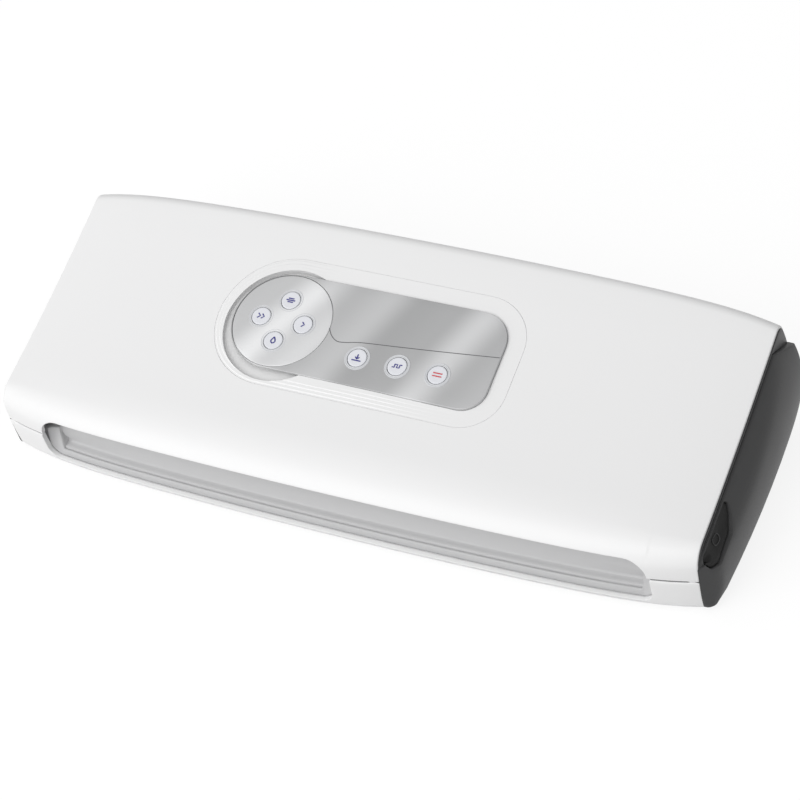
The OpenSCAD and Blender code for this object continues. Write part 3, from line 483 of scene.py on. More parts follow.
    def lid_lip(self, x: float) -> float:
        """Return the height of the lid's front lip at x."""
        d = max(0.0, abs(x) - (self.notch_w / 2 - self.notch_h))
        return self.part_z + self.half_gap(x) + math.sqrt(max(0.0, self.notch_h ** 2 - d * d))

    def tub_lip(self, x: float) -> float:
        """Return the height of the tub's front lip at x, lower along the scoop."""
        d = abs(x) - (self.scoop_w / 2 - self.scoop_r)
        if d > self.scoop_r + 0.01:
            return self.part_z - self.half_gap(x)
        return self.rim_z + self.scoop_r - math.sqrt(max(0.0, self.scoop_r ** 2 - max(0.0, d) ** 2))

    def stations(self, flat: float, r: float, end: float) -> list[float]:
        """Return x positions for a loft, close together where its lip turns."""
        tip = self.half_w - self.tip_len
        half = [flat * i / 16 for i in range(17)]
        half += [flat + r * math.sin(math.radians(a)) for a in (10, 20, 30, 40, 50, 60, 68, 75, 81, 86, 90)]
        half += [end + (tip - 1.2 - end) * f for f in (0.1, 0.25, 0.42, 0.6, 0.8, 1)]
        half += [tip - 0.6, tip - 0.3, tip, tip + 1.8]
        half += [self.half_w - d for d in (0.6, 0.35, 0.15, 0.0)]
        return [-x for x in reversed(half[1:])] + half


FORM = Housing()


# ---------------------------------------------------------------- mesh helpers


class Maker:
    """Turns point lists in millimetres into named objects."""

    @staticmethod
    def mesh(name: str, points: Sequence[Sequence[float]], faces: Sequence[Sequence[int]],
             sharp: float = 38.0) -> bpy.types.Object:
        """Make an object with smooth faces and sharp edges above an angle.

        Args:
            name: Object name.
            points: Points in millimetres.
            faces: Faces as point numbers.
            sharp: Angle in degrees above which an edge stays sharp.

        Returns:
            The new object.
        """
        data = bpy.data.meshes.new(name)
        data.from_pydata([(p[0] * MM, p[1] * MM, p[2] * MM) for p in points], [], faces)
        bm = bmesh.new()
        bm.from_mesh(data)
        bmesh.ops.remove_doubles(bm, verts=bm.verts, dist=1e-7)
        bmesh.ops.recalc_face_normals(bm, faces=bm.faces)
        bm.to_mesh(data)
        bm.free()
        for poly in data.polygons:
            poly.use_smooth = True
        data.set_sharp_from_angle(angle=math.radians(sharp))
        obj = bpy.data.objects.new(name, data)
        bpy.context.scene.collection.objects.link(obj)
        return obj

    @staticmethod
    def rings(name: str, rings: Sequence[Sequence[Point3]], closed: bool = True, capped: bool = True,
              sharp: float = 38.0) -> bpy.types.Object:
        """Loft closed or open rings of equal length.

        Args:
            name: Object name.
            rings: Rings of points in millimetres.
            closed: Whether each ring closes on itself.
            capped: Whether the first and last ring are filled.
            sharp: Sharp angle in degrees.

        Returns:
            The new object.
        """
        n = len(rings[0])
        faces: list[tuple[int, ...]] = []
        for i in range(len(rings) - 1):
            for j in range(n if closed else n - 1):
                a, b = i * n + j, i * n + (j + 1) % n
                faces.append((a, b, b + n, a + n))
        if capped:
            last = (len(rings) - 1) * n
            half = n // 2
            for j in range(half - 1 + (n % 2)):
                k = n - 1 - j
                if j + 1 <= k - 1:
                    quad = (j, j + 1, k - 1, k)
                    if len(set(quad)) == 4:
                        faces.append(quad)
                        faces.append(tuple(last + q for q in quad))
        return Maker.mesh(name, [p for r in rings for p in r], faces, sharp)

    @staticmethod
    def revolve(name: str, profile: Sequence[Point2], centre: Point2,
                put: Callable[[float, float, float], Point3], steps: int = 64) -> bpy.types.Object:
        """Turn a profile of (radius, height) about a centre of a working plane.

        Args:
            name: Object name.
            profile: Profile from the axis round to the axis.
            centre: Centre in the plane.
            put: Maps plane coordinates and height to the frame.
            steps: Steps round the axis.

        Returns:
            The new object.
        """
        rings = []
        for i in range(steps):
            a = 2 * math.pi * i / steps
            ca, sa = math.cos(a), math.sin(a)
            rings.append([put(centre[0] + r * ca, centre[1] + r * sa, h) for r, h in profile])
        rings.append(rings[0])
        return Maker.rings(name, rings, closed=False, capped=False)

    @staticmethod
    def pad(name: str, outline: Sequence[Point2], put: Callable[[float, float, float], Point3],
            top: Callable[[float, float], float], low: float | Callable[[float, float], float],
            edge: float = 0.3, holes: Sequence[Sequence[Point2]] = (), pitch: float = 4.0,
            hole_edge: float | None = None, hole_low: float | None = None,
            sharp: float = 38.0) -> bpy.types.Object:
        """Make a formed plate: a filled outline with rounded rims, side walls and holes.

        Args:
            name: Object name.
            outline: Closed outline in the working plane.
            put: Maps plane coordinates and height to the frame.
            top: Height of the face at a point.
            low: Height of the underside, or a function of the point.
            edge: Radius of the outer rim.
            holes: Closed loops cut through the plate.
            pitch: Spacing of the points that carry the face's shape.
            hole_edge: Radius of the holes' rims, edge if not given.
            hole_low: Height that the holes' walls reach down to, low if not given.
            sharp: Sharp angle in degrees.

        Returns:
            The new object, open underneath.
        """
        points: list[Point3] = []
        faces: list[tuple[int, ...]] = []
        inner: list[list[Point2]] = []

        def skirt(loop: Sequence[Point2], r: float, sign: float,
                  depth: float | Callable[[float, float], float]) -> None:
            """Add the wall and the rounded rim of one loop.

            Args:
                loop: Closed loop in the working plane.
                r: Radius of the rim.
                sign: 1 for the outline, -1 for a hole.
                depth: Height that the wall reaches down to.
            """
            turns = [math.radians(a) for a in (0, 22, 45, 68, 90)]
            drops = [(r * (1 - math.sin(a)), r * (1 - math.cos(a))) for a in turns]
            stack = []
            flat = list(loop)
            low_at = depth if callable(depth) else (lambda _a, _b: depth)
            stack.append([put(p[0], p[1], low_at(*p)) for p in flat])
            for drop, inset in drops:
                ring = inward(loop, inset * sign) if inset > 1e-9 else flat
                stack.append([put(p[0], p[1], top(*p) - drop) for p in ring])
            inner.append(ring)
            start = len(points)
            n = len(flat)
            for r_ in stack:
                points.extend(r_)
            for i in range(len(stack) - 1):
                for j in range(n):
                    a, b = start + i * n + j, start + i * n + (j + 1) % n
                    faces.append((a, b, b + n, a + n))

        skirt(outline, edge, 1.0, low)
        for hole in holes:
            skirt(hole, edge if hole_edge is None else hole_edge, -1.0, low if hole_low is None else hole_low)
        verts: list[Vector] = []
        edges: list[tuple[int, int]] = []
        for loop in inner:
            s = len(verts)
            verts += [Vector(p) for p in loop]
            edges += [(s + i, s + (i + 1) % len(loop)) for i in range(len(loop))]
        xs, ys = [p[0] for p in outline], [p[1] for p in outline]
        guard = [inward(inner[0], pitch * 0.35)] + [inward(h, -pitch * 0.35) for h in inner[1:]]
        nx, ny = int((max(xs) - min(xs)) / pitch) + 1, int((max(ys) - min(ys)) / pitch) + 1
        for i in range(nx + 1):
            for j in range(ny + 1):
                p = (min(xs) + pitch * (i + 0.5 * (j % 2)), min(ys) + pitch * j)
                if inside(p, guard[0]) and inside(p, inner[0]) and not any(inside(p, g) for g in guard[1:]):
                    verts.append(Vector(p))
        out_v, _e, out_f, _a, _b, _c = delaunay_2d_cdt(verts, edges, [], 0, 1e-6)
        start = len(points)
        points.extend(put(v.x, v.y, top(v.x, v.y)) for v in out_v)
        for f in out_f:
            c = sum((out_v[i] for i in f), Vector((0, 0))) / len(f)
            if inside(c, inner[0]) and not any(inside(c, h) for h in inner[1:]):
                faces.append(tuple(start + i for i in f))
        return Maker.mesh(name, points, faces, sharp)

    @staticmethod
    def ribbon(name: str, lines: Sequence[Sequence[Point2]], width: float,
               put: Callable[[float, float, float], Point3], height: float) -> bpy.types.Object:
        """Draw flat strokes, such as printed marks.

        Args:
            name: Object name.
            lines: Open strokes in the working plane.
            width: Stroke width.
            put: Maps plane coordinates and height to the frame.
            height: Height of the strokes.

        Returns:
            The new object.
        """
        points: list[Point3] = []
        faces: list[tuple[int, ...]] = []
        for line in lines:
            start = len(points)
            for i, p in enumerate(line):
                a, b = Vector(line[max(0, i - 1)]), Vector(line[min(len(line) - 1, i + 1)])
                d = (b - a).normalized()
                side = Vector((-d.y, d.x)) * (width / 2)
                points.append(put(p[0] + side.x, p[1] + side.y, height))
                points.append(put(p[0] - side.x, p[1] - side.y, height))
            for i in range(len(line) - 1):
                a = start + 2 * i
                faces.append((a, a + 1, a + 3, a + 2))
        return Maker.mesh(name, points, faces)

    @staticmethod
    def tube(name: str, path: Sequence[Point3], r: float, steps: int = 10) -> bpy.types.Object:
        """Sweep a circle along an open path of points.

        Args:
            name: Object name.
            path: Path in millimetres.
            r: Radius.
            steps: Steps round the circle.

        Returns:
            The new object.
        """
        rings = []
        up = Vector((0, 0, 1))
        for i, p in enumerate(path):
            d = (Vector(path[min(len(path) - 1, i + 1)]) - Vector(path[max(0, i - 1)])).normalized()
            side = d.cross(up)
            side = side.normalized() if side.length > 0.05 else Vector((0, 1, 0))
            up = side.cross(d).normalized()
            rings.append([tuple(Vector(p) + side * (r * math.cos(2 * math.pi * k / steps))
                                + up * (r * math.sin(2 * math.pi * k / steps))) for k in range(steps)])
        return Maker.rings(name, rings)

    @staticmethod
    def cut(obj: bpy.types.Object, *tools: bpy.types.Object, sharp: float = 38.0) -> bpy.types.Object:
        """Cut tools out of an object and remove them.

        Args:
            obj: Object to cut.
            tools: Closed cutters.
            sharp: Sharp angle in degrees for the result.

        Returns:
            The same object with its mesh replaced.
        """
        for i, tool in enumerate(tools):
            mod = obj.modifiers.new(f"cut{i}", "BOOLEAN")
            mod.operation, mod.solver, mod.object = "DIFFERENCE", "EXACT", tool
        bpy.context.view_layer.update()
        baked = bpy.data.meshes.new_from_object(obj.evaluated_get(bpy.context.evaluated_depsgraph_get()))
        obj.modifiers.clear()
        obj.data = baked
        for poly in baked.polygons:
            poly.use_smooth = True
        baked.set_sharp_from_angle(angle=math.radians(sharp))
        for tool in tools:
            bpy.data.objects.remove(tool)
        return obj

    @staticmethod
    def join(name: str, *objs: bpy.types.Object) -> bpy.types.Object:
        """Join objects into one mesh under a new name."""
        bm = bmesh.new()
        for o in objs:
            bm.from_mesh(o.data)
        data = bpy.data.meshes.new(name)
        bm.to_mesh(data)
        bm.free()
        for poly in data.polygons:
            poly.use_smooth = True
        data.set_sharp_from_angle(angle=math.radians(38))
        for o in objs:
            bpy.data.objects.remove(o)
        obj = bpy.data.objects.new(name, data)
        bpy.context.scene.collection.objects.link(obj)
        return obj


# ---------------------------------------------------------------- shader groups


class Groups:
    """Shared node groups: each gives a colour, a value or a normal."""

    _made: dict[str, bpy.types.NodeTree] = {}

    @classmethod
    def _new(cls, name: str, inputs: Sequence[tuple[str, str, float | tuple]],
             outputs: Sequence[tuple[str, str]]) -> tuple[bpy.types.NodeTree, bpy.types.Node, bpy.types.Node]:
        """Start a node group with named sockets.

        Args:
            name: Group name.
            inputs: (name, socket type, default) of each input.
            outputs: (name, socket type) of each output.

        Returns:
            The tree, its input node and its output node.
        """
        tree = bpy.data.node_groups.new(name, "ShaderNodeTree")
        for label, kind, value in inputs:
            tree.interface.new_socket(name=label, in_out="INPUT", socket_type=kind).default_value = value
        for label, kind in outputs:
            tree.interface.new_socket(name=label, in_out="OUTPUT", socket_type=kind)
        cls._made[name] = tree
        return tree, tree.nodes.new("NodeGroupInput"), tree.nodes.new("NodeGroupOutput")

    @classmethod
    def grain(cls) -> bpy.types.NodeTree:
        """Return the moulded grain: a fine bump, a colour tint and a roughness value."""
        if "moulded_grain" in cls._made:
            return cls._made["moulded_grain"]
        tree, gi, go = cls._new("moulded_grain", [
            ("Color", "NodeSocketColor", (0.8, 0.8, 0.8, 1)), ("Scale", "NodeSocketFloat", 900.0),
            ("Bump", "NodeSocketFloat", 0.05), ("Tint", "NodeSocketFloat", 0.02),
            ("Roughness", "NodeSocketFloat", 0.4)],
            [("Color", "NodeSocketColor"), ("Roughness", "NodeSocketFloat"), ("Normal", "NodeSocketVector")])
        nd, ln = tree.nodes, tree.links
        pos = nd.new("ShaderNodeTexCoord")
        fine, broad = nd.new("ShaderNodeTexNoise"), nd.new("ShaderNodeTexNoise")
        fine.inputs["Detail"].default_value = 4
        broad.inputs["Scale"].default_value = 26
        broad.inputs["Detail"].default_value = 3
        bump = nd.new("ShaderNodeBump")
        bump.inputs["Distance"].default_value = 0.0003
        ln.new(pos.outputs["Object"], fine.inputs["Vector"])
        ln.new(pos.outputs["Object"], broad.inputs["Vector"])
        ln.new(gi.outputs["Scale"], fine.inputs["Scale"])
        ln.new(gi.outputs["Bump"], bump.inputs["Strength"])
        ln.new(fine.outputs["Fac"], bump.inputs["Height"])
        ln.new(bump.outputs["Normal"], go.inputs["Normal"])
        spread = nd.new("ShaderNodeMath")
        spread.operation = "MULTIPLY_ADD"
        spread.inputs[1].default_value = 2.0
        spread.inputs[2].default_value = -1.0
        ln.new(broad.outputs["Fac"], spread.inputs[0])
        amount = nd.new("ShaderNodeMath")
        amount.operation = "MULTIPLY_ADD"
        amount.inputs[2].default_value = 1.0
        ln.new(spread.outputs[0], amount.inputs[0])
        ln.new(gi.outputs["Tint"], amount.inputs[1])
        mix = nd.new("ShaderNodeVectorMath")
        mix.operation = "SCALE"
        ln.new(gi.outputs["Color"], mix.inputs[0])
        ln.new(amount.outputs[0], mix.inputs["Scale"])
        ln.new(mix.outputs[0], go.inputs["Color"])
        rough = nd.new("ShaderNodeMath")
        rough.operation = "MULTIPLY_ADD"
        rough.inputs[1].default_value = 0.04
        ln.new(spread.outputs[0], rough.inputs[0])
        ln.new(gi.outputs["Roughness"], rough.inputs[2])
        ln.new(rough.outputs[0], go.inputs["Roughness"])
        return tree

    @classmethod
    def brushed(cls) -> bpy.types.NodeTree:
        """Return brushed metal: straight hairlines, and the distance along one direction, which the material
        turns into painted sheen bands.
        """
        if "brushed_metal" in cls._made:
            return cls._made["brushed_metal"]
        tree, gi, go = cls._new("brushed_metal", [
            ("Direction", "NodeSocketVector", (1.0, 0.0, 0.0)),
            ("Across", "NodeSocketVector", (0.0, 1.0, 0.0)),
            ("Hairlines", "NodeSocketFloat", 0.04)],
            [("Along", "NodeSocketFloat"), ("Shade", "NodeSocketFloat"), ("Normal", "NodeSocketVector")])
        nd, ln = tree.nodes, tree.links
        pos = nd.new("ShaderNodeTexCoord")
        along, across = nd.new("ShaderNodeVectorMath"), nd.new("ShaderNodeVectorMath")
        for node, sock in ((along, "Direction"), (across, "Across")):
            node.operation = "DOT_PRODUCT"
            ln.new(pos.outputs["Object"], node.inputs[0])
            ln.new(gi.outputs[sock], node.inputs[1])
        ln.new(along.outputs["Value"], go.inputs["Along"])
        lines = nd.new("ShaderNodeTexNoise")
        lines.noise_dimensions = "2D"
        lines.inputs["Scale"].default_value = 1.0
        lines.inputs["Detail"].default_value = 5
        comb = nd.new("ShaderNodeCombineXYZ")
        for node, sock, k in ((along, "X", 60.0), (across, "Y", 9000.0)):
            m = nd.new("ShaderNodeMath")
            m.operation = "MULTIPLY"
            m.inputs[1].default_value = k
            ln.new(node.outputs["Value"], m.inputs[0])
            ln.new(m.outputs[0], comb.inputs[sock])
        ln.new(comb.outputs[0], lines.inputs["Vector"])
        shade = nd.new("ShaderNodeMath")
        shade.operation = "MULTIPLY_ADD"
        ln.new(lines.outputs["Fac"], shade.inputs[0])
        ln.new(gi.outputs["Hairlines"], shade.inputs[1])
        shade.inputs[2].default_value = 1.0
        ln.new(shade.outputs[0], go.inputs["Shade"])
        bump = nd.new("ShaderNodeBump")
        bump.inputs["Strength"].default_value = 0.06
        bump.inputs["Distance"].default_value = 0.0001
        ln.new(lines.outputs["Fac"], bump.inputs["Height"])
        ln.new(bump.outputs["Normal"], go.inputs["Normal"])
        return tree


# ---------------------------------------------------------------- finishes


class Surface(Enum):
    """Kinds of plain surface, as (grain size, bump, tint)."""

    GLOSS_MOULD = (1400.0, 0.02, 0.002)
    SATIN_MOULD = (1600.0, 0.10, 0.02)
    TEXTURED = (2200.0, 0.35, 0.05)
    FOAM = (900.0, 0.9, 0.12)
    METAL = (700.0, 0.06, 0.05)
    RUBBER = (1200.0, 0.25, 0.06)


@dataclass(frozen=True)
class Finish:
    """A moulded or plain finish, with grain in its colour, roughness and bump."""

    name: str
    color: tuple[float, float, float]
    roughness: float = 0.4
    metallic: float = 0.0
    specular: float = 0.5
    surface: Surface = Surface.SATIN_MOULD
    ior: float = 1.5

    def build(self) -> bpy.types.Material:
        """Return the material, made once."""
        if self.name in bpy.data.materials:
            return bpy.data.materials[self.name]
        mat = bpy.data.materials.new(self.name)
        mat.use_nodes = True
        nd, ln = mat.node_tree.nodes, mat.node_tree.links
        bsdf = nd["Principled BSDF"]
        bsdf.inputs["Metallic"].default_value = self.metallic
        bsdf.inputs["Specular IOR Level"].default_value = self.specular
        bsdf.inputs["IOR"].default_value = self.ior
        group = nd.new("ShaderNodeGroup")
        group.node_tree = Groups.grain()
        scale, bump, tint = self.surface.value
        group.inputs["Color"].default_value = (*self.color, 1)
        group.inputs["Scale"].default_value = scale
        group.inputs["Bump"].default_value = bump
        group.inputs["Tint"].default_value = tint
        group.inputs["Roughness"].default_value = self.roughness
        ln.new(group.outputs["Color"], bsdf.inputs["Base Color"])
        ln.new(group.outputs["Roughness"], bsdf.inputs["Roughness"])
        ln.new(group.outputs["Normal"], bsdf.inputs["Normal"])
        return mat


@dataclass(frozen=True)
class BrushedSheenFinish:
    """Silver foil with hairlines, and painted sheen: soft lighter and darker bands across the panel that
    stand in for the metal's reflections.
    """

    name: str
    angle: float
    stops: tuple[tuple[float, float], ...]
    span: tuple[float, float] = (-90.0, 75.0)
    tint: tuple[float, float, float] = (0.985, 0.99, 1.0)

    def build(self) -> bpy.types.Material:
        """Return the material, made once."""
        if self.name in bpy.data.materials:
            return bpy.data.materials[self.name]
        mat = bpy.data.materials.new(self.name)
        mat.use_nodes = True
        nd, ln = mat.node_tree.nodes, mat.node_tree.links
        bsdf = nd["Principled BSDF"]
        bsdf.inputs["Metallic"].default_value = 0.25
        bsdf.inputs["Roughness"].default_value = 0.42
        bsdf.inputs["Specular IOR Level"].default_value = 0.4
        group = nd.new("ShaderNodeGroup")
        group.node_tree = Groups.brushed()
        ca, sa = math.cos(math.radians(self.angle)), math.sin(math.radians(self.angle))
        up = Vector(PLANE.up)
        group.inputs["Direction"].default_value = (ca, sa * up.y, sa * up.z)
        group.inputs["Across"].default_value = (-sa, ca * up.y, ca * up.z)
        # Painted sheen: the ramp lightens and darkens the silver in bands along one direction, in place of
        # reflections on the brushed metal.
        ramp_in = nd.new("ShaderNodeMapRange")
        ramp_in.inputs["From Min"].default_value = self.span[0] * MM
        ramp_in.inputs["From Max"].default_value = self.span[1] * MM
        ln.new(group.outputs["Along"], ramp_in.inputs["Value"])
        ramp = nd.new("ShaderNodeValToRGB")
        ramp.color_ramp.interpolation = "EASE"
        elements = ramp.color_ramp.elements
        while len(elements) < len(self.stops):
            elements.new(0.5)
        for element, (place, value) in zip(elements, self.stops):
            element.position = (place - self.span[0]) / (self.span[1] - self.span[0])
            element.color = (value * self.tint[0], value * self.tint[1], value * self.tint[2], 1)
        ln.new(ramp_in.outputs[0], ramp.inputs["Fac"])
        shade = nd.new("ShaderNodeVectorMath")
        shade.operation = "SCALE"
        ln.new(ramp.outputs["Color"], shade.inputs[0])
        ln.new(group.outputs["Shade"], shade.inputs["Scale"])
        ln.new(shade.outputs[0], bsdf.inputs["Base Color"])
        ln.new(group.outputs["Normal"], bsdf.inputs["Normal"])
        return mat


@dataclass(frozen=True)
class PanelPlane:
    """The control panel's own plane: x, distance up the slope, and height above its face."""

    y: float = -1.8
    half_span: float = 22.0
    mid_x: float = -10.0
    proud: float = 1.4

    @property
    def tilt(self) -> float:
        """Slope of the panel in radians."""
        dz = FORM.lid_z(self.mid_x, self.y + self.half_span) - FORM.lid_z(self.mid_x, self.y - self.half_span)
        return math.atan(dz / (2 * self.half_span))

    @property
    def z(self) -> float:
        """Height of the plane's origin."""
        return FORM.lid_z(self.mid_x, self.y) + self.proud / math.cos(self.tilt)

    @property
    def up(self) -> Point3:
        """Direction up the slope."""
        return 0.0, math.cos(self.tilt), math.sin(self.tilt)

    def put(self, x: float, d: float, h: float) -> Point3:
        """Map a point of the plane and a height above it to the frame."""
        c, s = math.cos(self.tilt), math.sin(self.tilt)
        return x, self.y + d * c - h * s, self.z + d * s + h * c

    def lid_height(self, x: float, d: float) -> float:
        """Return the lid's height relative to the plane at a point of it."""
        p = self.put(x, d, 0)
        return (FORM.lid_z(x, p[1]) - p[2]) * math.cos(self.tilt)


PLANE = PanelPlane()

WHITE = Finish("white_gloss", (0.83, 0.83, 0.832), 0.34, specular=0.25, surface=Surface.GLOSS_MOULD)
INNER_WHITE = Finish("white_inner", (0.72, 0.72, 0.73), 0.5)
SCOOP = Finish("scoop_silver", (0.54, 0.54, 0.545), 0.38, specular=0.3, surface=Surface.GLOSS_MOULD)
DARK = Finish("trim_charcoal", (0.048, 0.048, 0.049), 0.45, ior=1.3)
STRIP = Finish("dark_strip", (0.045, 0.045, 0.046), 0.4, ior=1.3)
BLACK = Finish("black_button", (0.006, 0.006, 0.006), 0.45, surface=Surface.TEXTURED, ior=1.25)
# Painted shade: a darker grey that stands in for the shade inside the finger pocket.
POCKET_PAINTED_SHADE = Finish("pocket_painted_shade", (0.30, 0.30, 0.31), 0.45)
# Painted shade: a dark grey for the flat ribbon that stands in for the plate's groove.
GROOVE_PAINTED_SHADE = Finish("groove_painted_shade", (0.12, 0.12, 0.125), 0.5)
# Painted shade: a dark grey strip set inside the front seam where shade falls.
SLIT_PAINTED_SHADE = Finish("slit_painted_shade", (0.16, 0.16, 0.165), 0.6, specular=0.2)
KEY = Finish("key_pale", (0.74, 0.75, 0.79), 0.4)
KEY_RING = Finish("key_ring", (0.60, 0.61, 0.63), 0.35)
INK = Finish("ink_blue", (0.030, 0.028, 0.22), 0.5)
INK_RED = Finish("ink_red", (0.60, 0.08, 0.09), 0.5)
# Painted sheen on the plate and the disc: each stop is a place along the brushing and a brightness, standing
# in for reflections.
PLATE_PAINTED_SHEEN = BrushedSheenFinish("brushed_plate_painted_sheen", -24.0, (
    (-80, 0.34), (-62, 0.44), (-50, 0.60), (-36, 0.46), (-20, 0.53), (-6, 0.38), (12, 0.41), (26, 0.62),
    (40, 0.43), (56, 0.49), (70, 0.64)))
DISC_PAINTED_SHEEN = BrushedSheenFinish("brushed_disc_painted_sheen", -30.0, ((-84, 0.52), (-70, 0.54), (-55, 0.80), (-44, 0.62), (-34, 0.68),
                                             (-22, 0.54)))

SLOT_FINISH: dict[str, Finish] = {
    "white_shell": INNER_WHITE, "grey_scoop": SCOOP, "dark_trim": DARK, "black_plastic": BLACK,
    "grey_plastic": Finish("grey_inner", (0.55, 0.55, 0.56), 0.5),
    "foam": Finish("foam_seal", (0.035, 0.035, 0.037), 0.9, surface=Surface.FOAM),
    "steel": Finish("plain_steel", (0.60, 0.61, 0.63), 0.32, metallic=1.0, surface=Surface.METAL),
    "tape": Finish("woven_tape", (0.30, 0.16, 0.06), 0.6, surface=Surface.TEXTURED),
    "tube": Finish("soft_tube", (0.66, 0.66, 0.62), 0.35),
    "board": Finish("laminate_green", (0.02, 0.14, 0.05), 0.4),
    "feet": Finish("foot_rubber", (0.015, 0.015, 0.015), 0.7, surface=Surface.RUBBER),
    "strip_rubber": Finish("press_rubber", (0.50, 0.50, 0.47), 0.6, surface=Surface.RUBBER),
    "silver_panel": KEY_RING, "pale_keys": KEY,
}


def dress(obj: bpy.types.Object, finish: Finish | BrushedSheenFinish, body: str, slot: str,
          *replaced: str) -> bpy.types.Object:
    """Give a piece its finish, body and the CAD nodes it stands for.

    Args:
        obj: The piece.
        finish: Its finish.
        body: CAD body it rides on.
        slot: Material slot of the record; not used.
        replaced: CAD nodes it replaces.

    Returns:
        The piece.
    """
    obj.data.materials.clear()
    obj.data.materials.append(finish.build())
    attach(obj, body)
    if replaced:
        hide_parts(*replaced)
    return obj


def lip_turn(p: Sample, d: Vector, t: float, r: float, n: int = 4) -> list[Point2]:
    """Round the free edge of a wall.

    Args:
        p: The outer sample at the edge.
        d: Direction past the edge.
        t: Wall thickness.
        r: Radius of the two corners.
        n: Steps per corner.

    Returns:
        Points from the outer face round to the inner face.
    """
    nrm = Vector((p[2], p[3]))
    a = Vector((p[0], p[1]))
    ca, cb = a - nrm * r - d * r, a - nrm * (t - r) - d * r
    out = []
    for i in range(n + 1):
        f = math.pi / 2 * i / n
        out.append(ca + nrm * (r * math.cos(f)) + d * (r * math.sin(f)))
    for i in range(n + 1):
        f = math.pi / 2 * i / n
        out.append(cb + d * (r * math.cos(f)) - nrm * (r * math.sin(f)))
    return [(q.x, q.y) for q in out]


def wall_ring(x: float, line: Sequence[Sample], t: float, front_r: float, back_r: float,
              back_t: float) -> list[Point3]:
    """Make one closed ring of a shell wall at x, with rounded lips.

    Args:
        x: Place along the housing.
        line: Outer samples.
        t: Wall thickness.
        front_r: Rounding of the first lip.
        back_r: Rounding of the last lip.
        back_t: Thickness at the last lip.

    Returns:
        The ring in the frame.
    """
    e = max(0.0, abs(x) - (FORM.half_w - 0.5))
    inset = 0.5 - math.sqrt(max(0.0, 0.25 - e * e)) if e > 0 else 0.0
    shape = [(p[0] - inset * p[2], p[1] - inset * p[3], p[2], p[3]) for p in line]
    first = (Vector(shape[0][:2]) - Vector(shape[1][:2])).normalized()
    last = (Vector(shape[-1][:2]) - Vector(shape[-2][:2])).normalized()
    outer = [p[:2] for p in shape[1:-1]]
    back = lip_turn(shape[-1], last, back_t - inset, min(back_r, (back_t - inset) / 2.05))
    inner = [(p[0] - t * p[2], p[1] - t * p[3]) for p in line[1:-1]]
    front = lip_turn(shape[0], first, t - inset, front_r)
    pts = outer + back + inner[::-1] + front[::-1]
    return [FORM.place(x, p) for p in pts]


# ---------------------------------------------------------------- sub-assemblies


